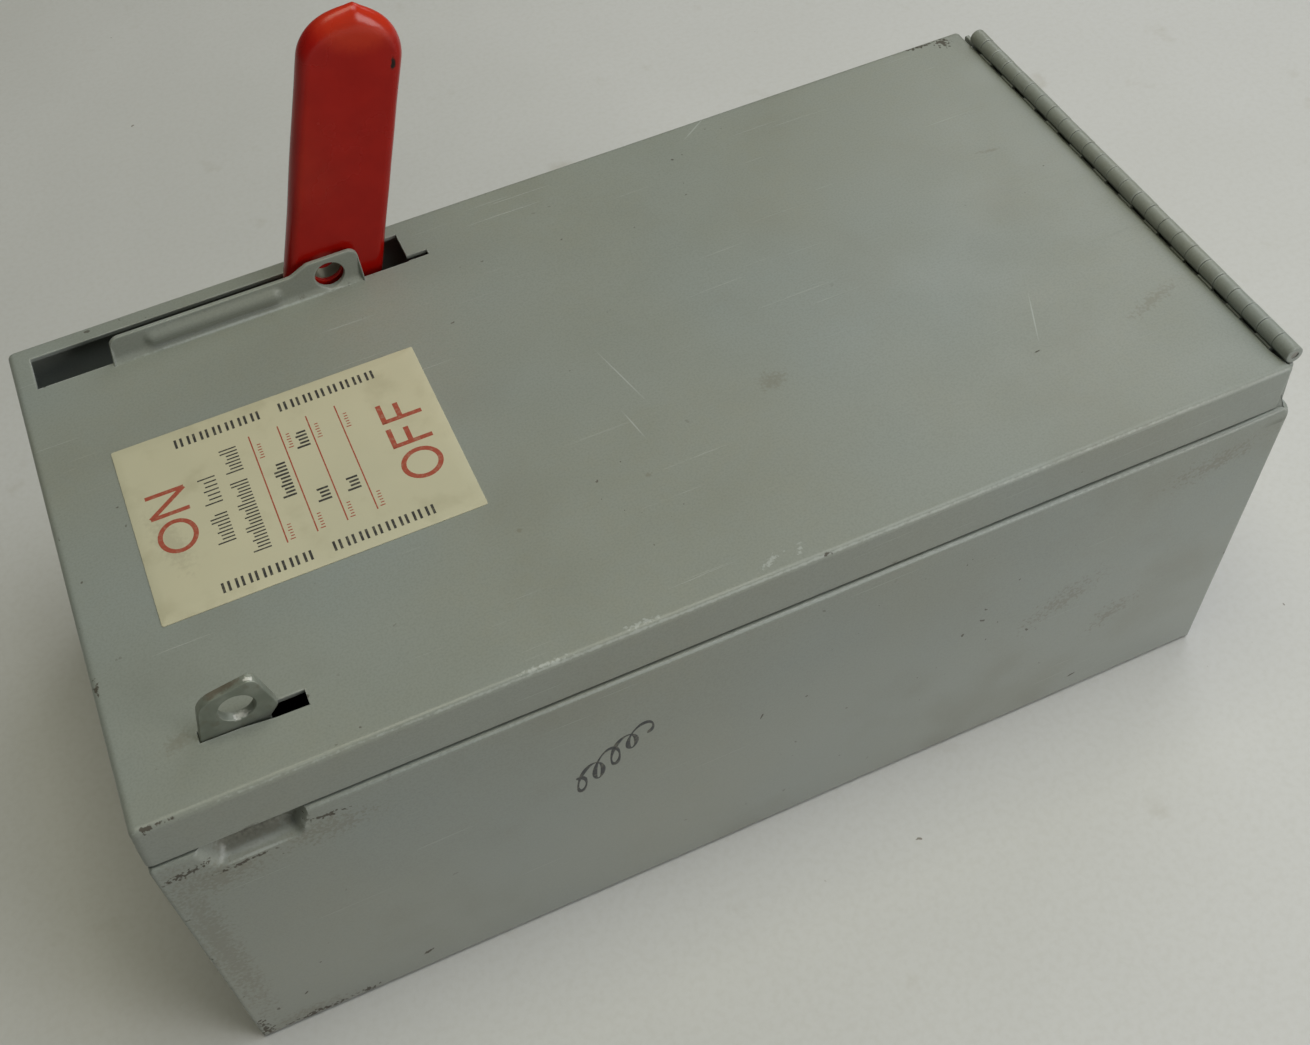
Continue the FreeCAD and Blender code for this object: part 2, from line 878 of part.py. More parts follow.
def rotor_crank_pin():
    """Headed pin that joins the crank to the link."""
    x, z = rotor_crank_place()
    shank = rod_y(x, z, crank_pin_r, crank_near_y, link_far_y + 0.2)
    head = rod_y(x, z, 4.5, link_far_y + 0.15, link_far_y + 1.6)
    return opened(fuse_all([shank, head]))


def rotor_clip():
    """Ring that keeps the stub in the bracket."""
    ring = rod_y(rotor_x, rotor_z, 7.6, 61.4, 62.6)
    return opened(ring.cut(rod_y(rotor_x, rotor_z, stub_r, 60, 64)))


# ---------------------------------------------------------------- switch base


def switch_base():
    """Moulded base under the switch, with barriers between the poles."""
    base = block(-142, -36, base_low_y, base_high_y, sheet, base_top_z)
    shapes = [base]
    for y in barrier_ys:
        shapes.append(block(-142, -93, y - barrier_half, y + barrier_half, base_top_z - 1, 80))
        shapes.append(block(-59, -36, y - barrier_half, y + barrier_half, base_top_z - 1, 56))
    whole = fuse_all(shapes)
    for x, y in screw_places()[:4]:
        whole = whole.cut(rod_z(x, y, 2.2, 0, 20))
    return whole


def base_screws():
    """Round-head screws that hold both insulating bases."""
    screws = []
    for x, y in screw_places():
        shank = rod_z(x, y, 2.0, 0.2, base_top_z + 0.1)
        head = rod_z(x, y, 3.5, base_top_z, base_top_z + 2.6)
        top_edge = [e for e in head.Edges if near(e.CenterOfMass.z, base_top_z + 2.6)]
        head = head.makeFillet(1.2, top_edge)
        slot = block(x - 4, x + 4, y - 0.5, y + 0.5, base_top_z + 1.4, base_top_z + 3)
        screws.append(fuse_all([shank, head]).cut(slot))
    return screws


def line_straps():
    """Copper straps that reach the line bolts over the back window."""
    straps = []
    for y in pole_ys:
        strap = outline(
            [
                (-163, base_top_z, 0),
                (jaw_right_x, base_top_z, 0),
                (jaw_right_x, strap_top_z, 0),
                (-163, strap_top_z, 0),
            ],
            y - strap_half_width,
            y + strap_half_width,
        )
        end_edges = edges_where(strap, lambda p: near(p.x, -163))
        corners = [e for e in end_edges if near(e.Length, strap_top_z - base_top_z)]
        strap = strap.makeFillet(2.5, corners)
        straps.append(strap.cut(rod_z(line_bolt_x, y, line_bolt_r, 10, 20)))
    return straps


def line_nuts():
    """Hexagon nuts fixed on the line straps."""
    nuts = []
    for y in pole_ys:
        points = []
        for k in range(7):
            angle = math.radians(60 * k)
            points.append(
                V(line_bolt_x + 6.4 * math.cos(angle), y + 6.4 * math.sin(angle), strap_top_z)
            )
        nut = Part.Face(Part.makePolygon(points)).extrude(V(0, 0, 5.4))
        nuts.append(nut.cut(rod_z(line_bolt_x, y, line_bolt_r, 10, 30)))
    return nuts


def line_jaws():
    """Spring jaws that grip the blades."""
    jaws = []
    for y in pole_ys:
        foot = block(jaw_left_x, jaw_right_x, y - 7, y + 7, strap_top_z, strap_top_z + 1.5)
        leaves = [foot]
        for side in (-1, 1):
            inner = y + side * contact_gap
            outer = y + side * (contact_gap + 1.6)
            leaves.append(
                outline(
                    [
                        (jaw_left_x, strap_top_z + 1, 0),
                        (jaw_right_x, strap_top_z + 1, 0),
                        (jaw_right_x, 41, 4),
                        (jaw_left_x, 41, 4),
                    ],
                    min(inner, outer),
                    max(inner, outer),
                )
            )
        jaws.append(fuse_all(leaves))
    return jaws


def jaw_springs():
    """Steel backing plates that press the jaw leaves together."""
    plates = []
    for y in pole_ys:
        for side in (-1, 1):
            inner = y + side * (contact_gap + 1.6)
            outer = y + side * (contact_gap + 2.5)
            plates.append(
                outline(
                    [
                        (-115.5, strap_top_z + 1.5, 0),
                        (-104.5, strap_top_z + 1.5, 0),
                        (-106, 35, 2),
                        (-114, 35, 2),
                    ],
                    min(inner, outer),
                    max(inner, outer),
                )
            )
    return plates


def hinge_contacts():
    """Copper straps with two ears that carry the blade ends."""
    contacts = []
    for y in pole_ys:
        strap = block(-62, -14, y - strap_half_width, y + strap_half_width, base_top_z, strap_top_z)
        shapes = [strap]
        for side in (-1, 1):
            inner = y + side * contact_gap
            outer = y + side * (contact_gap + 2.0)
            shapes.append(
                outline(
                    [
                        (rotor_x - 8, strap_top_z - 1, 0),
                        (rotor_x + 8, strap_top_z - 1, 0),
                        (rotor_x + 8, rotor_z + 8, 7.9),
                        (rotor_x - 8, rotor_z + 8, 7.9),
                    ],
                    min(inner, outer),
                    max(inner, outer),
                )
            )
        contact = fuse_all(shapes)
        contacts.append(contact.cut(rod_y(rotor_x, rotor_z, blade_pin_r, y - 6, y + 6)))
    return contacts


def blade_hinge_pins():
    """Headed pins the blades turn on."""
    pins = []
    ear = contact_gap + 2.0
    for y in pole_ys:
        shank = rod_y(rotor_x, rotor_z, blade_pin_r, y - ear - 1, y + ear + 1)
        near_head = rod_y(rotor_x, rotor_z, 4.6, y - ear - 1.3, y - ear)
        far_head = rod_y(rotor_x, rotor_z, 4.6, y + ear, y + ear + 1.3)
        pins.append(fuse_all([shank, near_head, far_head]))
    return pins


def arc_chute_frames():
    """Fibre boxes round the jaws, open towards the rotor."""
    frames = []
    inner = chute_half_width - chute_wall
    for y in pole_ys:
        near_side = block(
            chute_left_x, chute_right_x, y - chute_half_width, y - inner, base_top_z, chute_top_z
        )
        far_side = block(
            chute_left_x, chute_right_x, y + inner, y + chute_half_width, base_top_z, chute_top_z
        )
        rear = block(
            chute_left_x, chute_left_x + chute_wall, y - inner, y + inner, strap_top_z + 1.5, chute_top_z
        )
        frames.append(fuse_all([near_side, far_side, rear]))
    return frames


def arc_splitter_plates():
    """Steel plates with a throat for the blade."""
    plates = []
    inner = chute_half_width - chute_wall
    for y in pole_ys:
        for index in range(splitter_count):
            z = 46 + index * splitter_pitch
            plate = block(
                chute_left_x + chute_wall, chute_right_x - 2, y - inner, y + inner, z, z + 1.5
            )
            throat = Part.makePolygon(
                [
                    V(-90, y - 6.5, z - 1),
                    V(-108, y - 3.2, z - 1),
                    V(-119, y - 3.2, z - 1),
                    V(-119, y + 3.2, z - 1),
                    V(-108, y + 3.2, z - 1),
                    V(-90, y + 6.5, z - 1),
                    V(-90, y - 6.5, z - 1),
                ]
            )
            plates.append(plate.cut(Part.Face(throat).extrude(V(0, 0, 4))))
    return plates


def line_shield():
    """Bent fibre sheet over the line terminals."""
    shield = outline(
        [
            (-164, 56, 0),
            (-143.5, 56, 1.2),
            (-143.5, 4, 0),
            (-142, 4, 0),
            (-142, 57.5, 2.5),
            (-164, 57.5, 0),
        ],
        base_low_y,
        block_high_y,
    )
    for y in pole_ys:
        shield = shield.cut(block(-150, -140, y - 8, y + 8, 0, strap_top_z + 1))
    return shield


# ---------------------------------------------------------------- fuses and load side


def fuse_block():
    """Moulded base under the fuses."""
    shapes = [block(-34, 130, base_low_y, block_high_y, sheet, base_top_z)]
    for y in barrier_ys:
        shapes.append(block(-34, 104, y - barrier_half, y + barrier_half, base_top_z - 1, 46))
    whole = fuse_all(shapes)
    for x, y in screw_places()[4:]:
        whole = whole.cut(rod_z(x, y, 2.2, 0, 20))
    return whole


def clip_centres():
    """X of the line clip and of the load clip."""
    return [
        fuse_start_x + clip_centre_inset,
        fuse_start_x + fuse_length - clip_centre_inset,
    ]


def open_ring(x, y, inner_r, outer_r, half_length_x, mouth_half, mouth_z):
    """Band round a fuse end, open at the top."""
    band = rod_x(y, fuse_axis_z, outer_r, x - half_length_x, x + half_length_x)
    band = band.cut(rod_x(y, fuse_axis_z, inner_r, x - 20, x + 20))
    mouth_low_z = fuse_axis_z + mouth_z
    mouth = block(x - 20, x + 20, y - mouth_half, y + mouth_half, mouth_low_z, fuse_axis_z + 20)
    return band.cut(mouth)


def fuse_clips():
    """Copper clips that grip the fuse ends."""
    clips = []
    outer_r = ferrule_r + clip_thickness
    for x in clip_centres():
        for y in pole_ys:
            ring = open_ring(x, y, ferrule_r, outer_r, clip_half_length, 12, 5.0)
            foot = block(
                x - clip_half_length, x + clip_half_length, y - 7, y + 7, strap_top_z, strap_top_z + 1.5
            )
            neck = block(
                x - clip_half_length,
                x + clip_half_length,
                y - 3,
                y + 3,
                strap_top_z + 1,
                fuse_axis_z - ferrule_r - 0.2,
            )
            clip = ring.fuse(foot).fuse(neck)
            core = rod_x(y, fuse_axis_z, ferrule_r, x - 20, x + 20)
            clips.append(clip.cut(core).removeSplitter())
    return clips


def clip_springs():
    """Steel bands behind the fuse clips."""
    bands = []
    inner_r = ferrule_r + clip_thickness
    for x in clip_centres():
        for y in pole_ys:
            band = open_ring(x, y, inner_r, inner_r + 0.7, 3.0, 14, 2.5)
            low_cut = block(x - 20, x + 20, y - 3, y + 3, 0, fuse_axis_z - 5)
            halves = band.cut(low_cut)
            bands.extend(halves.Solids)
    return bands


def fuse_tubes():
    """Fibre barrels of the three cartridge fuses."""
    start = fuse_start_x + 1
    end = fuse_start_x + fuse_length - 1
    return [rod_x(y, fuse_axis_z, fuse_tube_r, start, end) for y in pole_ys]


def fuse_ferrules():
    """Metal end caps of the fuses."""
    caps = []
    tube_start = fuse_start_x + 1
    tube_end = fuse_start_x + fuse_length - 1
    for y in pole_ys:
        for x in (fuse_start_x, fuse_start_x + fuse_length - ferrule_length):
            cap = rod_x(y, fuse_axis_z, ferrule_r, x, x + ferrule_length)
            face_edges = [e for e in cap.Edges if near(e.Length, 2 * math.pi * ferrule_r)]
            cap = cap.makeFillet(0.4, face_edges)
            caps.append(cap.cut(rod_x(y, fuse_axis_z, fuse_tube_r, tube_start, tube_end)))
    return caps


def load_straps():
    """Copper straps from the load clips to the lugs."""
    return [
        block(80, 128, y - strap_half_width, y + strap_half_width, base_top_z, strap_top_z)
        for y in pole_ys
    ]


def load_lugs():
    """Box lugs for the load wires."""
    lugs = []
    middle = (lug_left_x + lug_right_x) / 2
    for y in pole_ys:
        lug = block(lug_left_x, lug_right_x, y - 7.5, y + 7.5, strap_top_z, lug_top_z)
        long_edges = [e for e in lug.Edges if near(e.Length, lug_right_x - lug_left_x)]
        lug = lug.makeFillet(1.0, long_edges)
        lug = lug.cut(rod_x(y, lug_bore_z, lug_bore_r, lug_left_x - 1, lug_right_x + 1))
        lugs.append(lug.cut(rod_z(middle, y, lug_screw_r, lug_bore_z, lug_top_z + 5)))
    return lugs


def lug_screws():
    """Slotted clamping screws in the lugs."""
    screws = []
    middle = (lug_left_x + lug_right_x) / 2
    low = lug_bore_z + lug_bore_r + 0.2
    for y in pole_ys:
        screw = rod_z(middle, y, lug_screw_r, low, lug_top_z + 3)
        slot = block(middle - 5, middle + 5, y - 0.6, y + 0.6, lug_top_z + 1, lug_top_z + 5)
        screws.append(screw.cut(slot))
    return screws


def ground_bar():
    """Small block with two wire holes for the earth wires."""
    bar = block(118, 142, 60, 69, sheet, 12.5)
    for x in (124.5, 135.5):
        bar = bar.cut(rod_y(x, 6.5, 2.6, 59, 70))
        bar = bar.cut(rod_z(x, 64.5, 2.2, 6.5, 14))
    return bar


def ground_screws():
    """Slotted screws in the earth block."""
    screws = []
    for x in (124.5, 135.5):
        shank = rod_z(x, 64.5, 2.2, 9.3, 12.6)
        head = rod_z(x, 64.5, 3.8, 12.5, 14.6)
        slot = block(x - 5, x + 5, 64.0, 65.0, 13.6, 16)
        screws.append(fuse_all([shank, head]).cut(slot))
    return screws


def insulating_liner():
    """Fibre sheet along the near wall."""
    return block(-104, 128, -half_width + sheet, -half_width + sheet + 0.8, 4, 92)


# ---------------------------------------------------------------- latch


def latch_bracket():
    """Z-shaped bracket on the near wall that guides the latch."""
    wall_y = -half_width + sheet
    flange = block(-150.5, -104.5, wall_y, wall_y + 1.5, 66, 90)
    shelf = block(-150.5, -104.5, wall_y, latch_far_y + 1.6, 88.5, 90)
    guide = outline(
        [(-150.5, 88.5, 0), (-104.5, 88.5, 0), (-104.5, 112, 4), (-150.5, 112, 4)],
        latch_far_y + 0.1,
        latch_far_y + 1.6,
    )
    bracket = fuse_all([flange, shelf, guide])
    for x in latch_rivet_xs:
        bracket = bracket.cut(rod_y(x, latch_rivet_z, latch_rivet_r, -73, -68))
    return bracket


def latch_rivets():
    """Shoulder rivets the latch slides on."""
    rivets = []
    for x in latch_rivet_xs:
        shank = rod_y(x, latch_rivet_z, latch_rivet_r, latch_near_y - 0.2, latch_far_y + 1.7)
        near_head = rod_y(x, latch_rivet_z, 4.5, latch_near_y - 1.6, latch_near_y - 0.1)
        far_head = rod_y(x, latch_rivet_z, 4.0, latch_far_y + 1.6, latch_far_y + 2.8)
        rivets.append(fuse_all([shank, near_head, far_head]))
    return rivets


def latch_spring():
    """Leaf spring that drags on the latch and keeps it where it is put."""
    leaf = outline(
        [
            (-126, 90, 0),
            (-116, 90, 0),
            (-117, 96.2, 1),
            (-125, 96.2, 1),
        ],
        latch_near_y - 1.2,
        latch_near_y - 0.1,
    )
    foot = block(-126, -116, latch_near_y - 8, latch_near_y - 0.1, 90, 91)
    return fuse_all([leaf, foot])


def door_latch():
    """Sliding hasp that hooks over the door through its slot."""
    top = case_height
    plate = outline(
        [
            (-150.4, 92, 2),
            (-150.3, 116, 0),
            (-144.8, top + 13.4, 3),
            (-129.0, top + 16.4, 2.2),
            (-126.2, top + 2.8, 1),
            (-129.2, top + 0.4, 0),
            (-129.2, 116, 0),
            (-113, 116, 3),
            (-113, 92, 2),
        ],
        latch_near_y,
        latch_far_y,
    )
    slot_r = latch_rivet_r + 0.1
    for x in latch_rivet_xs:
        plate = plate.cut(
            capsule(
                x - latch_travel - 0.1,
                latch_rivet_z,
                x,
                latch_rivet_z,
                slot_r,
                latch_near_y - 1,
                latch_far_y + 1,
            )
        )
    return plate.cut(rod_y(latch_hole_x, latch_hole_z, latch_hole_r, -76, -70))


# ---------------------------------------------------------------- write the parts

one_solid = [
    housing_pan,
    body_hinge_leaf,
    hinge_pin,
    door_panel,
    door_hinge_leaf,
    nameplate,
    fuse_chart_label,
    interlock_catch,
    handle_lever,
    handle_grip,
    lever_crank_pin,
    interlock_pin,
    lever_spring,
    drive_link,
    mechanism_bracket,
    pivot_pin,
    pivot_rings,
    blade_crossbar,
    rotor_crank,
    rotor_crank_pin,
    rotor_clip,
    switch_base,
    line_shield,
    fuse_block,
    ground_bar,
    insulating_liner,
    latch_bracket,
    latch_spring,
    door_latch,
]

several_solids = [
    bracket_rivets,
    pivot_spacers,
    stop_pins,
    stop_bumpers,
    knife_blades,
    blade_set_screws,
    crank_screws,
    base_screws,
    line_straps,
    line_nuts,
    line_jaws,
    jaw_springs,
    hinge_contacts,
    blade_hinge_pins,
    arc_chute_frames,
    arc_splitter_plates,
    fuse_clips,
    clip_springs,
    fuse_tubes,
    fuse_ferrules,
    load_straps,
    load_lugs,
    lug_screws,
    ground_screws,
    latch_rivets,
]

for make in one_solid:
    export(make.__name__, [make()])

for make in several_solids:
    export(make.__name__, make())
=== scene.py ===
import json
import math
import random

import bmesh
import bpy
from mathutils import Matrix, Vector, noise
from mathutils.geometry import delaunay_2d_cdt


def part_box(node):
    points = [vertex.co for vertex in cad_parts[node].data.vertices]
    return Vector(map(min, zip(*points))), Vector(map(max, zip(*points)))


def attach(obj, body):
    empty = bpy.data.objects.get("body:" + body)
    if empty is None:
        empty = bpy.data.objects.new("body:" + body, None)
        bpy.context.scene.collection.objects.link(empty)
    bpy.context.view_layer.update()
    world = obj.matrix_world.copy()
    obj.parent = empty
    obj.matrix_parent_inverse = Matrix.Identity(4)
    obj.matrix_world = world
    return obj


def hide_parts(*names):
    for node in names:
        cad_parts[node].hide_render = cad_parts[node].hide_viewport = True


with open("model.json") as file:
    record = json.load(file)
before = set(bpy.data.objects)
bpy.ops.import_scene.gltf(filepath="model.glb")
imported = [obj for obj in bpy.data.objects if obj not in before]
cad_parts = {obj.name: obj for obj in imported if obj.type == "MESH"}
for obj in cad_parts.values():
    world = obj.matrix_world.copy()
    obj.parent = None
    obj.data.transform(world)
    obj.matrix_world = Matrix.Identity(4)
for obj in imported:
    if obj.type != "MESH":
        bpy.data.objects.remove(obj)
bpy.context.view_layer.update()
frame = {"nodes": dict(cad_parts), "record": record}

# Shapes are worked out in millimetres and written as meshes in metres.
# Frame: +X towards the door hinge, +Y towards the handle, +Z out through the door.
MM = 0.001
SHARP = math.radians(38.0)


def span(node):
    """Lowest and highest corner of a CAD node, in millimetres."""
    low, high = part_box(node)
    return low / MM, high / MM


door_low, door_high = span("door_panel")
case_low, case_high = span("housing_pan")
label_low, label_high = span("nameplate")
latch_low, latch_high = span("door_latch")
grip_low, grip_high = span("handle_grip")
pin_low, pin_high = span("hinge_pin")
body_leaf_low, body_leaf_high = span("body_hinge_leaf")
door_leaf_low, door_leaf_high = span("door_hinge_leaf")

# Door and case sheet
SHEET = 1.5
BEND = 2.0
DOOR_TOP = label_low.z
SKIRT_LOW = door_low.z - 1.0
FLAT_INSET = 3.2
WAVE = 0.16

# Case walls; they stand a little proud of the door skirt
CASE_PROUD = 1.3
WALL_X = case_low.x - CASE_PROUD
WALL_Y = case_low.y - CASE_PROUD
SHOULDER_Z = 110.5
END_BEND_Z = 110.4
SHOULDER_R = 1.4
CORNER_R = 0.35
LIP_INSET = 2.0 + CASE_PROUD
LIP_TOP = 125.5
END_FOOT_X = 160.8
END_TOP_X = 173.8
LIP_END_X = 167.5
WIRE_OPENING_Y = (-80.0, 40.0)
WIRE_OPENING_Z = (12.0, 42.0)
BACK_OPENING = (-163.0, -144.0, -78.0, 38.0)
BACK_HOLES = [(x, y, 3.3) for x in (-153.0, 150.0) for y in (-84.5, 84.5)]
NOTCH_LEFT = -156.5
NOTCH_RIGHT = -132.7
NOTCH_FLOOR = 100.4
NOTCH_SPLAY = math.radians(21.0)
NOTCH_DEPTH = 5.0
NOTCH_RISE = 5.2

# Openings in the door
SLOT_X = (-164.0, -43.2)
SLOT_Y = (72.8, 87.0)
SLIT_X = -36.4
SLIT_Y = (73.1, 75.4)
LATCH_SLOT_X = (-147.9, -119.0)
LATCH_SLOT_Y = (-76.2, -71.2)

# Locking tab: heights are above the door face
TAB_Y = 72.6
TAB_X = (-140.4, -58.4)
TAB_LOW = 9.0
TAB_HIGH = 11.9
TAB_HOLE = (-68.6, 133.2, 4.76)
BEAD_X = (-126.0, -87.3)
BEAD_CENTRE = 4.6
BEAD_HEIGHT = 1.35

# Hinge
HINGE_X = (pin_low.x + pin_high.x) / 2
HINGE_Z = (pin_low.z + pin_high.z) / 2
KNUCKLES = 25
KNUCKLE_PITCH = 7.04
KNUCKLE_GAP = 0.18
KNUCKLE_R = 2.8
KNUCKLE_BORE = 1.28
HINGE_START = -91.5
LEAF_SETBACK = 5.0
LEAF_SHEET = 1.2

# Handle
HANDLE_Y = (grip_low.y + grip_high.y) / 2
PIVOT = (-102.4, 15.3)
LEAN = math.radians(17.2)
GRIP_START = 108.0
GRIP_END = 210.7
GRIP_SIDE = 0.8
GRIP_HALF_WIDTH = 15.6
GRIP_FOOT_EXTRA = 0.4
GRIP_HALF_THICKNESS = 4.0

# Latch: (x, z, radius) of its padlock hole, its neck, and the slot that its guide rivets run in
LATCH_HOLE = (-135.8, 135.5, 4.8)
NECK_X = (-150.3, -129.2)
NECK_FOOT_Z = 116.0
GUIDE_SLOT_X = (-145.5, -116.4)
GUIDE_SLOT_Z = (99.4, 104.6)
GUIDE_SLOT_R = 2.59


def placed(name, data):
    """New object in the scene that shows a mesh, a light or a camera."""
    made = bpy.data.objects.new(name, data)
    bpy.context.scene.collection.objects.link(made)
    return made


# ---------------------------------------------------------------- outlines and meshes


def anticlockwise(loop):
    """The same outline, running anticlockwise."""
    area = sum(a[0] * b[1] - b[0] * a[1] for a, b in zip(loop, loop[1:] + loop[:1]))
    return loop if area > 0 else loop[::-1]


def circle(x, y, radius, steps=40):
    """Round outline."""
    turns = [2 * math.pi * k / steps for k in range(steps)]
    return [(x + radius * math.cos(a), y + radius * math.sin(a)) for a in turns]


def rectangle(x0, x1, y0, y1):
    """Square-cornered outline."""
    return [(x0, y0), (x1, y0), (x1, y1), (x0, y1)]


def rounded(corners, steps=6):
    """Closed outline from (x, y, radius) corners."""
    loop = []
    count = len(corners)
    for i, (x, y, radius) in enumerate(corners):
        if radius <= 0:
            loop.append((x, y))
            continue
        corner = Vector((x, y))
        before = (Vector(corners[i - 1][:2]) - corner).normalized()
        after = (Vector(corners[(i + 1) % count][:2]) - corner).normalized()
        half = before.angle(after) / 2
        centre = corner + (before + after).normalized() * (radius / math.sin(half))
        start = corner + before * (radius / math.tan(half)) - centre
        end = corner + after * (radius / math.tan(half)) - centre
        first = math.atan2(start.y, start.x)
        turn = math.atan2(start.x * end.y - start.y * end.x, start.dot(end))
        for k in range(steps + 1):
            angle = first + turn * k / steps
            loop.append((centre.x + radius * math.cos(angle), centre.y + radius * math.sin(angle)))
    return loop


def soft_rectangle(x0, x1, y0, y1, low_radius, high_radius, steps=6):
    """Rectangle with one corner radius along its low edge and another along its high edge."""
    radii = (low_radius, low_radius, high_radius, high_radius)
    return rounded([(x, y, r) for (x, y), r in zip(rectangle(x0, x1, y0, y1), radii)], steps)


def moved_in(loop, distance):
    """Anticlockwise outline moved inwards; a negative distance moves it out."""
    moved = []
    count = len(loop)
    for i in range(count):
        here = Vector(loop[i])
        ahead = (Vector(loop[(i + 1) % count]) - here).normalized()
        back = (here - Vector(loop[i - 1])).normalized()
        normal_a = Vector((-back.y, back.x))
        normal_b = Vector((-ahead.y, ahead.x))
        mitre = (normal_a + normal_b) / (1 + normal_a.dot(normal_b))
        moved.append(tuple(here + mitre * distance))
    return moved


def inside(x, y, loop):
    """True when a point lies inside an outline."""
    hit = False
    for (xa, ya), (xb, yb) in zip(loop, loop[1:] + loop[:1]):
        if (ya > y) != (yb > y) and x < (xb - xa) * (y - ya) / (yb - ya) + xa:
            hit = not hit
    return hit


def fill(outline, holes, spacing):
    """Triangles that cover an outline less its holes, with inner points at a spacing."""
    points = []
    edges = []
    for loop in [outline] + holes:
        first = len(points)
        points.extend(loop)
        edges.extend((first + k, first + (k + 1) % len(loop)) for k in range(len(loop)))
    if spacing:
        xs = [p[0] for p in outline]
        ys = [p[1] for p in outline]
        columns = int((max(xs) - min(xs)) / spacing)
        rows = int((max(ys) - min(ys)) / spacing)
        margin = moved_in(outline, spacing * 0.4)
        wide_holes = [moved_in(hole, -spacing * 0.4) for hole in holes]
        for i in range(1, columns + 1):
            for j in range(1, rows + 1):
                x = min(xs) + (i - 0.5 * (j % 2)) * spacing
                y = min(ys) + j * spacing
                if inside(x, y, margin) and not any(inside(x, y, h) for h in wide_holes):
                    points.append((x, y))
    vectors = [Vector(p) for p in points]
    made = delaunay_2d_cdt(vectors, edges, [], 1, 1e-5)
    places = [(p.x, p.y) for p in made[0]]
    faces = []
    for face in made[2]:
        x = sum(places[k][0] for k in face) / len(face)
        y = sum(places[k][1] for k in face) / len(face)
        if inside(x, y, outline) and not any(inside(x, y, hole) for hole in holes):
            faces.append(tuple(face))
    return places, faces


def quarter(radius, steps):
    """(across, down) pairs round a quarter bend, from (radius, 0) to (0, radius)."""
    turns = [math.pi / 2 * k / steps for k in range(steps + 1)]
    return [(radius * (1 - math.sin(a)), radius * (1 - math.cos(a))) for a in turns]


def rim_profile(thickness, edge, steps):
    """(inset, height) pairs from the top face round the rim to the bottom face."""
    top = [(across, thickness - down) for across, down in quarter(edge, steps)]
    bottom = [(inset, thickness - height) for inset, height in reversed(top)]
    return top + bottom


class Form:
    """Points in millimetres and faces, gathered before they become one mesh."""

    def __init__(self):
        self.points = []
        self.faces = []

    def add(self, points, faces, place=None):
        """Add points and faces, each point passed through a placing function."""
        first = len(self.points)
        self.points.extend(Vector(place(*p)) if place else Vector(p) for p in points)
        self.faces.extend(tuple(first + k for k in face) for face in faces)

    def band(self, rings, closed=True, place=None):
        """Strip of faces between rings that hold the same number of points."""
        count = len(rings[0])
        points = [p for ring in rings for p in ring]
        faces = []
        for r in range(len(rings) - 1):
            for k in range(count if closed else count - 1):
                a = r * count + k
                b = r * count + (k + 1) % count
                faces.append((a, b, b + count, a + count))
        self.add(points, faces, place)

    def tube(self, rings, place=None):
        """Closed body through rings, with a flat cap on the first and on the last."""
        self.band(rings, place=place)
        corners = tuple(range(len(rings[0])))
        self.add(rings[0], [corners], place)
        self.add(rings[-1], [corners], place)

    def plate(self, outline, holes, thickness, edge, spacing=0.0, rings=None, place=None, steps=3):
        """Flat plate with rounded rims. Its faces lie at height 0 and at its thickness."""
        outline = anticlockwise(outline)
        holes = [anticlockwise(hole) for hole in holes]
        profile = rim_profile(thickness, edge, steps)
        if rings is None:
            rings = [[(x, y, h) for x, y in moved_in(outline, inset)] for inset, h in profile]
        self.band(rings, place=place)
        for hole in holes:
            walls = [[(x, y, h) for x, y in moved_in(hole, -inset)] for inset, h in profile]
            self.band(walls, place=place)
        outer = [(p[0], p[1]) for p in rings[0]]
        wide = [moved_in(hole, -edge) for hole in holes]
        places, faces = fill(outer, wide, spacing)
        self.add([(x, y, thickness) for x, y in places], faces, place)
        self.add([(x, y, 0.0) for x, y in places], [f[::-1] for f in faces], place)

    def box(self, x0, x1, y0, y1, z0, z1, edge=0.3):
        """Block with rounded edges."""
        height = z1 - z0
        self.plate(rectangle(x0, x1, y0, y1), [], height, edge, place=lambda x, y, h: (x, y, z0 + h))

    def lathe(self, profile, place, steps=28):
        """Ring turned from a closed (radius, along) profile; place gets (a, b, along)."""
        turns = [2 * math.pi * k / steps for k in range(steps)]
        rings = []
        for radius, along in profile + profile[:1]:
            rings.append([(radius * math.cos(t), radius * math.sin(t), along) for t in turns])
        self.band(rings, place=place)

    def make_object(self, name):
        """New object whose mesh holds the gathered points and faces, in metres."""
        mesh = bpy.data.meshes.new(name)
        mesh.from_pydata([p * MM for p in self.points], [], self.faces)
        return placed(name, mesh)

    def piece(self, name, body, slot, replaces=(), material=None, sharp=SHARP):
        """Turn the form into an object that rides on a body."""
        made = self.make_object(name)
        work = bmesh.new()
        work.from_mesh(made.data)
        bmesh.ops.remove_doubles(work, verts=work.verts, dist=2e-6)
        bmesh.ops.dissolve_degenerate(work, edges=work.edges, dist=1e-8)
        bmesh.ops.recalc_face_normals(work, faces=work.faces)
        for face in work.faces:
            face.smooth = True
        keep_creases(work, made.data, sharp)
        made.data.materials.append(MATERIALS[material or slot])
        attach(made, body)
        if replaces:
            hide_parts(*replaces)
        return made


def keep_creases(work, mesh, sharp):
    """Mark edges sharper than an angle as creases and write the mesh."""
    for edge in work.edges:
        if len(edge.link_faces) == 2:
            edge.smooth = edge.calc_face_angle(0.0) < sharp
    work.to_mesh(mesh)
    work.free()


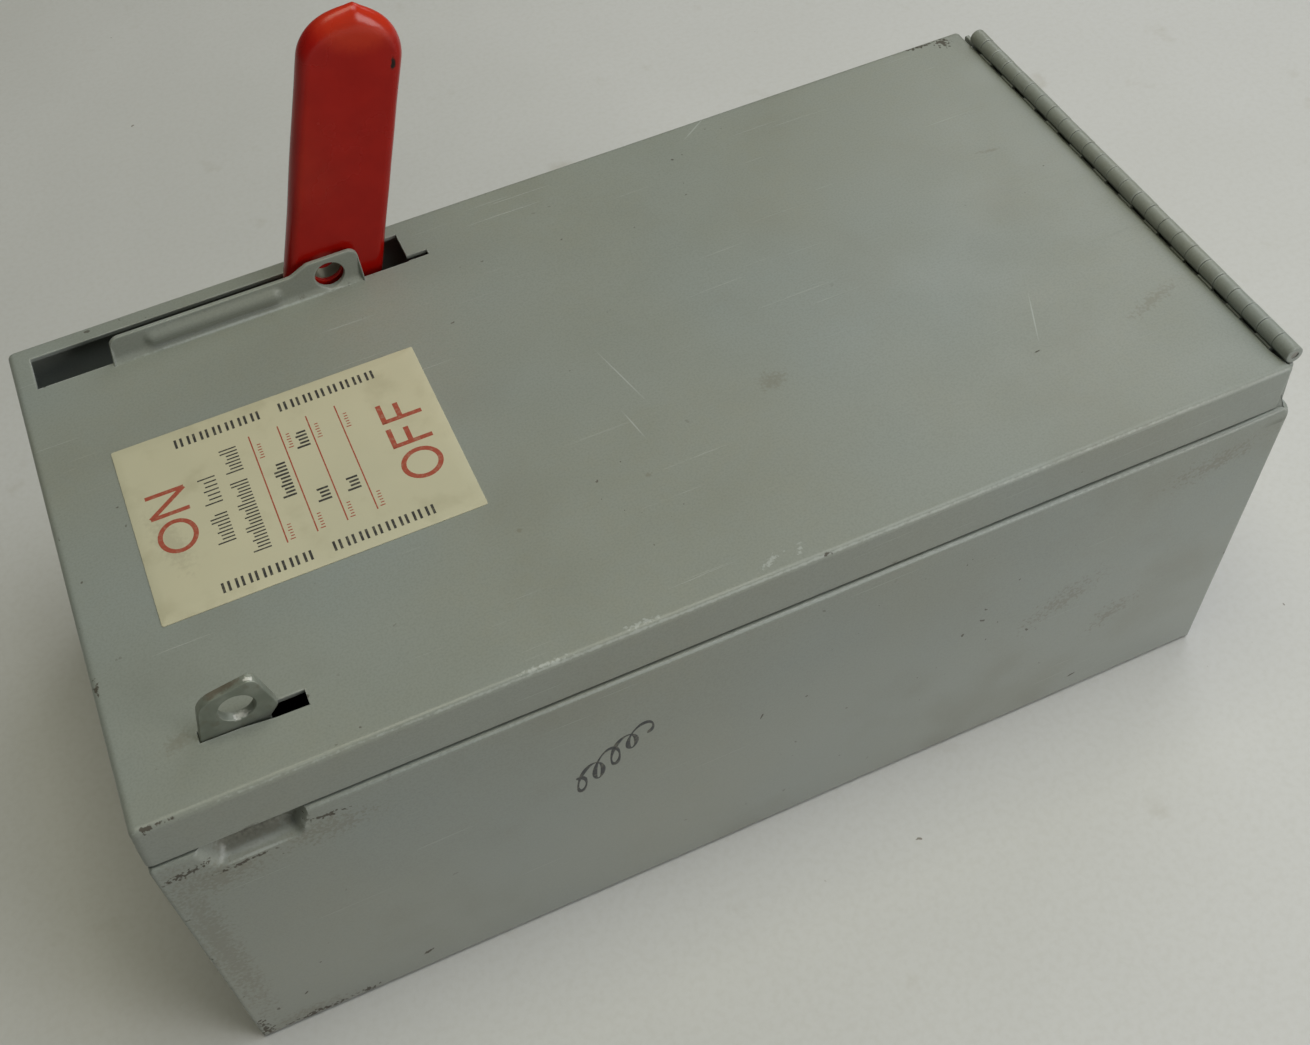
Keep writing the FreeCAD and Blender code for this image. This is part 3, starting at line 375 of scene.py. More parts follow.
def cut(target, cutter_form):
    """Cut a closed form out of an object."""
    cutter = cutter_form.make_object("cutter")
    work = bmesh.new()
    work.from_mesh(cutter.data)
    bmesh.ops.remove_doubles(work, verts=work.verts, dist=1e-7)
    bmesh.ops.recalc_face_normals(work, faces=work.faces)
    work.to_mesh(cutter.data)
    work.free()
    modifier = target.modifiers.new("cut", "BOOLEAN")
    modifier.operation = "DIFFERENCE"
    modifier.solver = "EXACT"
    modifier.object = cutter
    bpy.context.view_layer.update()
    shape = target.evaluated_get(bpy.context.evaluated_depsgraph_get())
    result = bpy.data.meshes.new_from_object(shape)
    target.modifiers.remove(modifier)
    target.data = result
    bpy.data.objects.remove(cutter)
    work = bmesh.new()
    work.from_mesh(result)
    keep_creases(work, result, SHARP)


def even_shading(made):
    """Let the large faces set the normals, so rounded rims shade cleanly."""
    modifier = made.modifiers.new("even_shading", "WEIGHTED_NORMAL")
    modifier.keep_sharp = True
    modifier.weight = 60


def smooth_step(low, high, value):
    """0 below low, 1 above high, eased between."""
    share = min(1.0, max(0.0, (value - low) / (high - low)))
    return share * share * (3 - 2 * share)


def wave(x, y, seed, size=90.0):
    """Gentle unevenness of folded sheet."""
    return WAVE * noise.noise(Vector((x / size, y / size, seed)))


# ---------------------------------------------------------------- materials


# Every material by its name; the ones that dress CAD nodes have the name of a material slot.
MATERIALS = {}


class Shader:
    """One material built from nodes, on the object's own coordinates in metres."""

    def __init__(self, name):
        MATERIALS[name] = bpy.data.materials.new(name)
        MATERIALS[name].use_nodes = True
        self.tree = MATERIALS[name].node_tree
        self.tree.nodes.clear()
        self.surface = self.add("ShaderNodeBsdfPrincipled")
        out = self.add("ShaderNodeOutputMaterial")
        self.tree.links.new(self.surface.outputs[0], out.inputs[0])
        self.place = self.add("ShaderNodeTexCoord").outputs["Object"]

    def add(self, kind, **settings):
        """New node with some of its properties set."""
        node = self.tree.nodes.new(kind)
        for key, value in settings.items():
            setattr(node, key, value)
        return node

    def feed(self, socket, value):
        """Link an output, or set a plain value."""
        if isinstance(value, bpy.types.NodeSocket):
            self.tree.links.new(value, socket)
        else:
            socket.default_value = value

    def set(self, key, value):
        """Drive one input of the surface."""
        self.feed(self.surface.inputs[key], value)

    def noise(self, scale, detail=4.0, stretch=(1, 1, 1), turn=(0, 0, 0), shift=(0, 0, 0)):
        """Noise value between 0 and 1."""
        mapping = self.add("ShaderNodeMapping")
        self.feed(mapping.inputs["Vector"], self.place)
        self.feed(mapping.inputs["Location"], shift)
        self.feed(mapping.inputs["Rotation"], [math.radians(a) for a in turn])
        self.feed(mapping.inputs["Scale"], stretch)
        node = self.add("ShaderNodeTexNoise")
        self.feed(node.inputs["Vector"], mapping.outputs[0])
        self.feed(node.inputs["Scale"], scale)
        self.feed(node.inputs["Detail"], detail)
        return node.outputs[0]

    def ramp(self, value, low, high, start=0.0, end=1.0):
        """Clamped, eased change from start to end as a value passes from low to high."""
        node = self.add("ShaderNodeMapRange", interpolation_type="SMOOTHSTEP")
        self.feed(node.inputs[0], value)
        self.feed(node.inputs[1], low)
        self.feed(node.inputs[2], high)
        self.feed(node.inputs[3], start)
        self.feed(node.inputs[4], end)
        return node.outputs[0]

    def patches(self, scale, detail, low, high, start=0.0, end=1.0, shift=(0, 0, 0)):
        """Mask of soft patches of noise."""
        return self.ramp(self.noise(scale, detail, shift=shift), low, high, start, end)

    def math(self, operation, a, b=0.0):
        """One arithmetic step."""
        node = self.add("ShaderNodeMath", operation=operation)
        self.feed(node.inputs[0], a)
        self.feed(node.inputs[1], b)
        return node.outputs[0]

    def times(self, a, b):
        """Product of two masks or numbers."""
        return self.math("MULTIPLY", a, b)

    def most(self, *values):
        """Largest of several masks."""
        whole = values[0]
        for value in values[1:]:
            whole = self.math("MAXIMUM", whole, value)
        return whole

    def mix(self, share, a, b):
        """Colour between a and b."""
        node = self.add("ShaderNodeMix", data_type="RGBA")
        self.feed(node.inputs[0], share)
        self.feed(node.inputs[6], (*a, 1.0) if isinstance(a, tuple) else a)
        self.feed(node.inputs[7], (*b, 1.0) if isinstance(b, tuple) else b)
        return node.outputs[2]

    def tinted(self, tone, colour, mask, strength):
        """Tone with some of another colour laid over it where a mask is high."""
        return self.mix(self.times(mask, strength), tone, colour)

    def bump(self, height, distance, strength=1.0, under=None):
        """Raise the surface by a height map; distance is in metres."""
        node = self.add("ShaderNodeBump")
        self.feed(node.inputs["Strength"], strength)
        self.feed(node.inputs["Distance"], distance)
        self.feed(node.inputs["Height"], height)
        if under is not None:
            self.feed(node.inputs["Normal"], under)
        self.set("Normal", node.outputs[0])
        return node.outputs[0]

    def edges(self, radius_mm, low=0.02, high=0.22):
        """Mask of the edges of the shape."""
        soft = self.add("ShaderNodeBevel", samples=6)
        self.feed(soft.inputs["Radius"], radius_mm * MM)
        sharp = self.add("ShaderNodeNewGeometry").outputs["Normal"]
        dot = self.add("ShaderNodeVectorMath", operation="DOT_PRODUCT")
        self.feed(dot.inputs[0], soft.outputs[0])
        self.feed(dot.inputs[1], sharp)
        return self.ramp(self.math("SUBTRACT", 1.0, dot.outputs["Value"]), low, high)

    def mark(self, centre, half_size, turn=(0, 0, 0), soft=0.5, rough=0.35):
        """Mask of one ragged spot or stroke; centre and half sizes in millimetres."""
        ragged = self.noise(900.0, 6.0)
        mapping = self.add("ShaderNodeMapping", vector_type="TEXTURE")
        self.feed(mapping.inputs["Vector"], self.place)
        self.feed(mapping.inputs["Location"], [c * MM for c in centre])
        self.feed(mapping.inputs["Rotation"], [math.radians(a) for a in turn])
        self.feed(mapping.inputs["Scale"], [h * MM for h in half_size])
        length = self.add("ShaderNodeVectorMath", operation="LENGTH")
        self.feed(length.inputs[0], mapping.outputs[0])
        wobble = self.times(self.math("SUBTRACT", ragged, 0.5), rough * 4)
        reach = self.math("ADD", length.outputs["Value"], wobble)
        return self.ramp(reach, 1.0 - soft, 1.0, 1.0, 0.0)

    def marks(self, rows):
        """Mask of several spots or strokes."""
        return self.most(*[self.mark(*row) for row in rows])

    def streaks(self, turn, low, high, across=900.0, along=14.0, shift=(0, 0, 0)):
        """Mask of thin scratches that run one way."""
        lines = self.noise(1.0, 2.0, (along, across, across), turn, shift)
        patch = self.noise(22.0, 2.0, shift=shift)
        fine = self.ramp(lines, low, high)
        return self.times(fine, self.ramp(patch, 0.5, 0.62))


PAINT = (0.288, 0.310, 0.276)
PAINT_WARM = (0.290, 0.304, 0.256)
PAINT_COOL = (0.284, 0.314, 0.290)
# Pale colour of worn paint, also used for painted highlights.
PALE_RUB_AND_HIGHLIGHT = (0.50, 0.53, 0.50)
# Dark dirt colour, also used for a patch of painted shade in the finger notch.
DIRT_AND_SHADE = (0.050, 0.042, 0.030)
RUST = (0.070, 0.050, 0.032)


def paint(name, marks=(), pale=(), smudges_and_shade=(), painted_shade=(), grime=0.5, painted_bounce_light=0.0):
    """Grey-green enamel on sheet steel, with pale worn edges that also give painted edge highlights,
    scratches and grime; optional marks add painted highlights and painted shade, and a painted bounce
    light lightens the foot.
    """
    s = Shader(name)
    tone = s.mix(s.patches(9.0, 3.0, 0.35, 0.65), PAINT_WARM, PAINT_COOL)
    tone = s.mix(s.patches(240.0, 5.0, 0.3, 0.7, 0.0, 0.45), tone, PAINT)
    tone = s.mix(s.patches(1500.0, 2.0, 0.35, 0.75, 0.0, 0.30), tone, (0.20, 0.215, 0.185))
    # Painted bounce light: the colour turns lighter towards the foot of the walls.
    if painted_bounce_light:
        split = s.add("ShaderNodeSeparateXYZ")
        s.feed(split.inputs[0], s.place)
        tone = s.mix(s.ramp(split.outputs[2], 0.11, 0.01, 0.0, painted_bounce_light), tone, (0.42, 0.435, 0.40))
    film = s.patches(26.0, 6.0, 0.50, 0.74, 0.0, 0.30 * grime, shift=(3, 1, 7))
    tone = s.mix(film, tone, (0.20, 0.19, 0.14))
    # Pale worn paint on convex edges, which also serves as painted highlight along the bends.
    rubbed_and_highlit_edges = s.times(s.edges(1.6), s.patches(55.0, 4.0, 0.40, 0.62, 0.10, 0.75))
    tone = s.mix(rubbed_and_highlit_edges, tone, PALE_RUB_AND_HIGHLIGHT)
    scratches = s.most(
        s.streaks((0, 0, 20), 0.700, 0.735),
        s.streaks((0, 0, 68), 0.705, 0.74, shift=(5, 2, 0)),
        s.streaks((0, 0, 130), 0.72, 0.75, shift=(1, 8, 3)),
    )
    tone = s.tinted(tone, PALE_RUB_AND_HIGHLIGHT, scratches, 0.30)
    # Pale marks: worn paint, and painted highlights along bends, ledges and rims.
    if pale:
        tone = s.tinted(tone, PALE_RUB_AND_HIGHLIGHT, s.marks(pale), 0.55)
    # Olive smudges; the case's list also holds painted shade in the finger notch.
    if smudges_and_shade:
        tone = s.tinted(tone, (0.17, 0.15, 0.10), s.marks(smudges_and_shade), 0.35)
    # Painted shade under the door skirt and in the finger notch.
    if painted_shade:
        tone = s.tinted(tone, (0.045, 0.043, 0.035), s.marks(painted_shade), 0.8)
    chips = s.times(s.edges(2.6, 0.01, 0.10), s.patches(210.0, 5.0, 0.63, 0.68, shift=(9, 4, 2)))
    chips = s.times(chips, s.patches(18.0, 2.0, 0.50, 0.60, shift=(2, 2, 9)))
    specks = s.times(
        s.patches(300.0, 2.0, 0.745, 0.765, shift=(4, 0, 1)),
        s.patches(14.0, 3.0, 0.45, 0.6, shift=(0, 6, 1)),
    )
    # Dark chips and specks; the case's marks also hold a patch of painted shade.
    dark = s.most(chips, s.times(specks, 0.8), *[s.mark(*m) for m in marks])
    dark = s.times(dark, 0.85)
    tone = s.mix(dark, tone, s.mix(s.noise(150.0), DIRT_AND_SHADE, RUST))
    s.set("Base Color", tone)
    gloss = s.patches(40.0, 5.0, 0.3, 0.7, 0.28, 0.40)
    s.set("Roughness", s.math("ADD", gloss, s.times(dark, 0.3)))
    s.set("Specular IOR Level", 0.42)
    peel = s.bump(s.noise(520.0, 3.0), 0.00004, 0.35)
    s.bump(s.math("SUBTRACT", 1.0, s.most(dark, scratches)), 0.00012, 0.5, peel)


def metal(name, dark, light, rough=(0.28, 0.5), grain=60.0, stretch=(1, 1, 1), stain=None, worn=0.5):
    """Bare or plated metal with grain, tarnish and brighter edges."""
    s = Shader(name)
    tone = s.mix(s.ramp(s.noise(grain, 5.0, stretch), 0.3, 0.7), dark, light)
    if stain:
        tone = s.mix(s.patches(130.0, 5.0, 0.50, 0.72, 0.0, 0.8, shift=(2, 7, 1)), tone, stain)
    bright = tuple(min(1.0, c * 1.35) for c in light)
    tone = s.tinted(tone, bright, s.edges(0.5), worn)
    s.set("Base Color", tone)
    s.set("Metallic", 0.92)
    s.set("Roughness", s.patches(180.0, 5.0, 0.3, 0.7, *rough, shift=(1, 1, 4)))
    s.bump(s.noise(900.0, 4.0, stretch), 0.00003, 0.4)


def moulding(name, dark, light, rough=(0.3, 0.5), grain=500.0, dust=0.25):
    """Moulded plastic or fibre with a light film of dust."""
    s = Shader(name)
    tone = s.mix(s.patches(grain, 5.0, 0.3, 0.7), dark, light)
    film = s.patches(30.0, 6.0, 0.48, 0.75, 0.0, dust, shift=(6, 2, 3))
    tone = s.mix(film, tone, (0.30, 0.28, 0.24))
    s.set("Base Color", tone)
    s.set("Roughness", s.patches(60.0, 5.0, 0.3, 0.7, *rough))
    s.bump(s.noise(700.0, 4.0), 0.00005, 0.35)


def worn_hasp():
    """Dull zinc plate with a brown worn top edge, a small bright spot at its top corner and a painted
    highlight on the lower rim of its padlock hole.
    """
    s = Shader("plated_steel")
    tone = s.mix(s.patches(150.0, 5.0, 0.35, 0.65), (0.225, 0.250, 0.205), (0.290, 0.315, 0.265))
    tone = s.mix(s.patches(420.0, 4.0, 0.5, 0.75, 0.0, 0.5), tone, (0.20, 0.19, 0.14))
    top_edge = s.mark((-138.5, -72.4, DOOR_TOP + 15.2), (10.5, 2.6, 1.0), (0, -11, 0), 0.4, 0.2)
    tone = s.tinted(tone, (0.150, 0.118, 0.080), top_edge, 0.75)
    bright = s.mark((-130.4, -73.4, DOOR_TOP + 16.0), (1.6, 0.8, 0.7), (0, 0, 0), 0.7, 0.8)
    # Painted highlight on the lower rim of the padlock hole.
    rim = s.mark((-136.4, -73.4, DOOR_TOP + 2.8), (3.6, 1.6, 0.7), (0, -6, 0), 0.7, 0.6)
    tone = s.tinted(tone, (0.80, 0.80, 0.74), s.most(bright, rim), 0.8)
    s.set("Base Color", tone)
    s.set("Metallic", 0.35)
    s.set("Roughness", s.patches(180.0, 5.0, 0.3, 0.7, 0.34, 0.5, shift=(1, 1, 4)))
    s.bump(s.noise(700.0, 4.0), 0.00004, 0.5)


def vinyl():
    """Glossy red dipped vinyl, with painted highlights: brighter red on its rounded edges and round the
    tip.
    """
    s = Shader("red_vinyl")
    tone = s.mix(s.patches(120.0, 5.0, 0.3, 0.7), (0.370, 0.0050, 0.0022), (0.410, 0.0070, 0.0032))
    # Painted highlight on the rounded edges.
    tone = s.mix(s.edges(2.4, 0.03, 0.5), tone, (0.52, 0.016, 0.005))
    # Painted highlight round the tip.
    tip = s.mark((-39.5, 80, 214), (17, 14, 12.5), (0, 17, 0), 0.5, 0.05)
    tone = s.tinted(tone, (0.60, 0.040, 0.012), tip, 0.75)
    scuff = s.times(s.edges(1.6, 0.02, 0.12), s.patches(260.0, 4.0, 0.64, 0.68, shift=(3, 3, 8)))
    nick = s.mark((-32.6, 76.2, 197.4), (0.95, 2.0, 2.6), (0, 12, 0), 0.55, 0.25)
    side = s.mark((-69.0, 79.0, 190.0), (2.2, 6.0, 7.0), (0, 17, 0), 0.6, 0.9)
    flaw = s.most(nick, s.times(scuff, 0.7), side)
    tone = s.mix(flaw, tone, (0.018, 0.010, 0.008))
    s.set("Base Color", tone)
    s.set("Roughness", s.patches(35.0, 5.0, 0.3, 0.7, 0.20, 0.30))
    s.set("Specular IOR Level", 0.42)
    s.set("Subsurface Weight", 0.04)
    s.set("Subsurface Scale", 0.004)
    ripple = s.bump(s.noise(45.0, 2.0), 0.0006, 0.25)
    s.bump(s.math("SUBTRACT", s.noise(420.0, 3.0), flaw), 0.00008, 0.4, ripple)


def label_card():
    """Cream printed card, soiled in patches and by a thumb mark."""
    s = Shader("label_card")
    tone = s.mix(s.patches(22.0, 4.0, 0.3, 0.7), (0.590, 0.555, 0.385), (0.545, 0.520, 0.365))
    soil = s.patches(75.0, 6.0, 0.52, 0.74, 0.0, 0.35, shift=(1, 5, 2))
    tone = s.mix(soil, tone, (0.38, 0.35, 0.22))
    thumb = s.mark((-140, -6, DOOR_TOP), (5, 18, 3), (0, 0, 12), 0.9, 0.4)
    tone = s.tinted(tone, (0.24, 0.21, 0.14), thumb, 0.25)
    s.set("Base Color", tone)
    s.set("Roughness", s.patches(50.0, 4.0, 0.3, 0.7, 0.42, 0.58))
    s.bump(s.noise(380.0, 4.0), 0.00005, 0.4)


def ink(name, colour, wear=0.35):
    """Printing ink, slightly broken up."""
    s = Shader(name)
    faded = tuple(c + (p - c) * 0.45 for c, p in zip(colour, (0.48, 0.45, 0.31)))
    tone = s.mix(s.patches(900.0, 4.0, 0.45, 0.72, 0.0, wear), colour, faded)
    s.set("Base Color", tone)
    s.set("Roughness", s.patches(200.0, 4.0, 0.3, 0.7, 0.45, 0.6))


def paper():
    """Plain off-white paper with faint ruled lines."""
    s = Shader("chart_paper")
    tone = s.mix(s.patches(60.0, 5.0, 0.3, 0.7), (0.56, 0.54, 0.45), (0.62, 0.60, 0.52))
    split = s.add("ShaderNodeSeparateXYZ")
    s.feed(split.inputs[0], s.place)
    rows = s.math("PINGPONG", split.outputs[1], 0.004)
    lines = s.ramp(rows, 0.0002, 0.0005, 1.0, 0.0)
    tone = s.tinted(tone, (0.12, 0.12, 0.12), lines, 0.6)
    s.set("Base Color", tone)
    s.set("Roughness", s.patches(300.0, 4.0, 0.3, 0.7, 0.65, 0.85))


BACKDROP = (0.95, 0.97, 0.92)
BACKDROP_LIGHT = 0.07
BACKDROP_SEEN = 0.5


def table_top():
    """Pale laminate with faint stains and specks, which fades into the backdrop far away."""
    s = Shader("table_top")
    tone = s.mix(s.patches(3.0, 4.0, 0.35, 0.65), (0.640, 0.640, 0.618), (0.670, 0.670, 0.655))
    tone = s.mix(s.patches(420.0, 6.0, 0.35, 0.75, 0.0, 0.25), tone, (0.56, 0.55, 0.51))
    stain = s.patches(38.0, 5.0, 0.64, 0.78, 0.0, 0.30, shift=(3, 3, 0))
    tone = s.mix(stain, tone, (0.42, 0.39, 0.31))
    specks = s.times(
        s.patches(210.0, 2.0, 0.775, 0.80, shift=(1, 1, 0)),
        s.patches(9.0, 2.0, 0.46, 0.56, shift=(7, 1, 0)),
    )
    tone = s.tinted(tone, (0.16, 0.13, 0.09), specks, 0.75)
    s.set("Base Color", tone)
    s.set("Roughness", s.patches(30.0, 4.0, 0.3, 0.7, 0.50, 0.65))
    s.set("Specular IOR Level", 0.3)
    s.bump(s.noise(600.0, 4.0), 0.00004, 0.3)
    distance = s.add("ShaderNodeVectorMath", operation="LENGTH")
    s.feed(distance.inputs[0], s.place)
    fade = s.ramp(distance.outputs["Value"], 0.6, 2.2, 0.0, 0.85 * BACKDROP_SEEN)
    to_camera = s.add("ShaderNodeLightPath").outputs["Is Camera Ray"]
    s.set("Emission Color", (*BACKDROP, 1.0))
    s.set("Emission Strength", s.times(fade, to_camera))


# Chips, rubs, smudges, painted highlights and painted shade: place on the sheet, half sizes, turn in
# degrees, softness, raggedness.


def on_door(x, y, half_x, half_y, turn, soft, ragged, drop=0.0, deep=3):
    """Mark on the door, as the values that Shader.mark takes."""
    return (x, y, DOOR_TOP - drop), (half_x, half_y, deep), (0, 0, turn), soft, ragged


def on_wall(x, z, half_x, half_z, turn, soft, ragged, back=0.0, deep=2):
    """Mark on the near wall, as the values that Shader.mark takes."""
    return (x, WALL_Y + back, z), (half_x, deep, half_z), (0, turn, 0), soft, ragged


DOOR_CHIPS = [
    on_door(153.0, 91.6, 4.5, 0.8, -6, 0.5, 1.3),
    on_door(161.5, 90.0, 2.2, 2.8, 30, 0.6, 1.4),
    on_door(-166.3, -92.9, 1.6, 0.8, 0, 0.6, 1.2, 0.5, 1.5),
    on_door(-160.5, -92.9, 3.0, 0.5, 0, 0.6, 1.3, 0.4, 1.2),
    on_door(110.5, -54.5, 1.5, 0.35, 10, 0.6, 0.6, deep=2),
    on_door(-169.0, -46.0, 0.8, 2.6, 0, 0.6, 1.3, 0.8, 1.2),
    on_door(22.0, -92.8, 1.8, 0.5, 0, 0.6, 1.0, 0.8, 1.0),
    on_door(-93.0, -12.0, 0.3, 0.3, 0, 0.6, 0.5, -0.3, 1),
]
DOOR_RUBS_AND_HIGHLIGHTS = [
    on_door(65.0, 89.0, 0.35, 9.0, -55, 0.8, 0.1, deep=2),
    on_door(-2.2, -6.0, 0.28, 17.0, 12, 0.8, 0.05, deep=2),
    on_door(-6.4, -26.0, 0.3, 8.0, 9, 0.8, 0.05, deep=2),
    on_door(117.0, -42.0, 0.3, 13.0, -23, 0.8, 0.05, deep=2),
    on_door(7.0, -88.5, 3.4, 1.0, 25, 0.8, 1.4, deep=2),
    on_door(16.0, -88.0, 2.2, 0.7, 60, 0.8, 1.4, deep=2),
    on_door(-32.0, -91.4, 5.0, 0.8, 0, 0.7, 1.2, 0.3, 2),
    on_door(-60.0, -92.2, 7.0, 0.7, 0, 0.7, 1.2, 0.4, 2),
    # Worn paint and painted highlight along the door's near bend.
    on_door(0.0, -92.9, 172.0, 0.45, 0, 0.8, 0.5, 0.7, 0.6),
    # Painted highlight, with some worn paint, along the crease at the tab's foot.
    on_door(-99.0, 71.2, 44.0, 0.6, 0, 0.6, 0.25, -0.25, 0.9),
]
DOOR_SMUDGES = [
    on_door(36.7, -28.8, 5.6, 4.2, 15, 0.8, 0.6),
    on_door(145.0, 31.0, 5.5, 1.0, -12, 0.9, 0.6),
    on_door(-153.0, -72.0, 5.5, 3.5, 20, 0.9, 0.5),
    on_door(-10.3, -45.5, 1.6, 1.0, 20, 0.8, 0.8),
    on_door(-50.0, -47.5, 1.2, 0.8, 20, 0.8, 0.8),
    on_door(152.0, -52.0, 13.0, 2.6, 20, 1.0, 1.0),
]
CASE_CHIPS_AND_SHADE = [
    on_wall(-126.0, 105.0, 4.6, 0.8, 6, 0.6, 1.4),
    on_wall(-163.0, 104.4, 5.4, 1.1, -8, 0.7, 1.5),
    on_wall(-115.8, 10.0, 2.1, 0.8, -22, 0.5, 0.6),
    on_wall(-153.5, 17.0, 1.3, 0.4, -40, 0.5, 0.4),
    on_wall(-145.5, 31.4, 0.5, 0.4, 0, 0.5, 0.3),
    on_wall(113.0, 9.2, 2.6, 0.5, -14, 0.5, 0.4),
    on_wall(-0.5, 64.0, 0.35, 1.8, 24, 0.5, 0.3),
    on_wall(-152.0, 2.4, 9.0, 1.3, 0, 0.7, 1.3),
    on_wall(-169.3, 5.5, 2.2, 6.0, 0, 0.8, 1.3, deep=3),
    on_wall(-137.0, 2.8, 3.6, 1.0, 0, 0.6, 1.3, -0.5),
    # Painted shade in the upper right of the finger notch, under the skirt.
    on_wall(-137.0, 108.6, 5.0, 1.7, 0, 0.6, 1.3, 3.0, 2.4),
    on_wall(-150.0, 99.0, 7.0, 0.7, -3, 0.7, 1.5),
]
# Painted highlights: the lit ledge and rim of the finger notch, its right corner and the shoulder line
# along the wall.
CASE_HIGHLIGHTS = [
    on_wall(-145.0, 102.2, 12.5, 1.3, 0, 0.6, 0.2, 1.9, 1.7),
    on_wall(-145.0, 100.6, 12.0, 0.5, 0, 0.6, 0.3, 0.3, 0.8),
    on_wall(-131.6, 104.8, 1.0, 3.6, -20, 0.6, 0.4, 0.8, 1.6),
    on_wall(0.0, SHOULDER_Z - 0.35, 185.0, 0.45, 0, 0.7, 0.3, 0.5, 0.8),
]
CASE_SMUDGES_AND_SHADE = [
    # Darker band along the left end of the near wall.
    on_wall(-166.0, 62.0, 6.0, 62.0, 0, 0.9, 0.7, deep=3),
    on_wall(-158.0, 97.0, 14.0, 7.0, 0, 0.9, 1.2, deep=3),
    on_wall(-126.0, 99.0, 11.0, 5.0, 0, 0.9, 1.3, deep=3),
    on_wall(103.0, 58.0, 14.0, 5.0, -24, 1.0, 1.4),
    on_wall(124.0, 39.0, 8.0, 4.0, -30, 0.95, 1.6),
    on_wall(-155.0, 5.0, 14.0, 4.0, 0, 0.9, 0.8),
    on_wall(150.0, 98.0, 14.0, 4.0, -10, 1.0, 1.4),
    # Painted shade: the finger notch darkens towards the top, under the skirt.
    on_wall(-145.0, 105.0, 15.0, 7.0, 0, 0.6, 0.4, 4.6, 3.6),
]
# Painted shade: a dark line under the door skirt and the back of the finger notch under it.
CASE_PAINTED_SHADE = [
    on_wall(0.0, SHOULDER_Z + 0.6, 190.0, 1.0, 0, 0.5, 0.1, 3.0, 1.3),
    on_wall(-145.0, 108.2, 15.0, 6.4, 0, 1.0, 0.3, 5.6, 3.2),
]

# The case also takes painted highlights, painted shade and a painted bounce light (0.35) towards its
# foot.
paint("case_paint", CASE_CHIPS_AND_SHADE, CASE_HIGHLIGHTS, CASE_SMUDGES_AND_SHADE, CASE_PAINTED_SHADE, 0.8, 0.35)
paint("door_paint", DOOR_CHIPS, DOOR_RUBS_AND_HIGHLIGHTS, DOOR_SMUDGES)
paint("hinge_paint", grime=1.0)
metal("hinge_steel", (0.30, 0.29, 0.27), (0.46, 0.45, 0.42))
label_card()
paper()
vinyl()
metal("lever_steel", (0.28, 0.27, 0.20), (0.42, 0.40, 0.30), (0.4, 0.6), stain=(0.20, 0.17, 0.10))
worn_hasp()
metal("mechanism_steel", (0.34, 0.34, 0.33), (0.52, 0.52, 0.50), stain=(0.24, 0.21, 0.16))
metal("spring_steel", (0.16, 0.16, 0.17), (0.30, 0.30, 0.31), (0.3, 0.45))
metal("screw_steel", (0.45, 0.45, 0.42), (0.66, 0.66, 0.62), (0.22, 0.4), stain=(0.32, 0.28, 0.18))
moulding("stop_rubber", (0.018, 0.018, 0.018), (0.035, 0.034, 0.032), (0.6, 0.8))
metal("copper", (0.50, 0.22, 0.12), (0.72, 0.36, 0.22), (0.25, 0.5), 90.0, stain=(0.26, 0.11, 0.06))
metal("pin_brass", (0.50, 0.37, 0.14), (0.70, 0.54, 0.24), (0.25, 0.45))
moulding("black_phenolic", (0.020, 0.018, 0.016), (0.034, 0.030, 0.027), (0.24, 0.42))
moulding("chute_fibre", (0.22, 0.085, 0.045), (0.30, 0.12, 0.065), (0.5, 0.7), 260.0)
metal("splitter_steel", (0.22, 0.22, 0.21), (0.36, 0.36, 0.34), (0.4, 0.6))
moulding("liner_fibre", (0.16, 0.15, 0.125), (0.22, 0.205, 0.17), (0.55, 0.75), 320.0)
moulding("fuse_fibre", (0.42, 0.36, 0.25), (0.52, 0.45, 0.33), (0.45, 0.65), 380.0, 0.15)
metal(
    "ferrule_brass", (0.55, 0.42, 0.20), (0.74, 0.60, 0.34), (0.2, 0.38), 70.0, stain=(0.35, 0.24, 0.11)
)
metal("lug_aluminium", (0.55, 0.56, 0.56), (0.74, 0.75, 0.75), (0.3, 0.5), 120.0)
ink("red_ink", (0.38, 0.075, 0.040), 0.5)
ink("black_ink", (0.035, 0.034, 0.032), 0.4)
ink("marker_ink", (0.055, 0.058, 0.060), 0.5)
table_top()

for part in frame["record"]["subparts"]:
    node = frame["nodes"][part["node"]]
    node.data.materials.clear()
    node.data.materials.append(MATERIALS[part["material_slot"]])


# ---------------------------------------------------------------- door


def perimeter_ring(box, radius, inset, step=8.0, corner_steps=7):
    """Points round a rounded rectangle that has been moved in, always the same number."""
    x0, x1, y0, y1 = box
    ring = []
    corners = [(x0, y0, 180), (x1, y0, 270), (x1, y1, 0), (x0, y1, 90)]
    for i, (cx, cy, first) in enumerate(corners):
        core_x = cx + (radius if cx == x0 else -radius)
        core_y = cy + (radius if cy == y0 else -radius)
        reach = max(0.0, radius - inset)
        held_x = min(max(core_x, x0 + inset), x1 - inset)
        held_y = min(max(core_y, y0 + inset), y1 - inset)
        for k in range(corner_steps + 1):
            angle = math.radians(first + 90 * k / corner_steps)
            ring.append((held_x + reach * math.cos(angle), held_y + reach * math.sin(angle)))
        nx, ny, _ = corners[(i + 1) % 4]
        length = math.hypot(nx - cx, ny - cy)
        count = int(length / step)
        inward = (-(ny - cy) / length * inset, (nx - cx) / length * inset)
        for k in range(1, count):
            share = k / count
            x = cx + (nx - cx) * share + inward[0]
            y = cy + (ny - cy) * share + inward[1]
            ring.append((min(max(x, x0 + inset), x1 - inset), min(max(y, y0 + inset), y1 - inset)))
    return ring


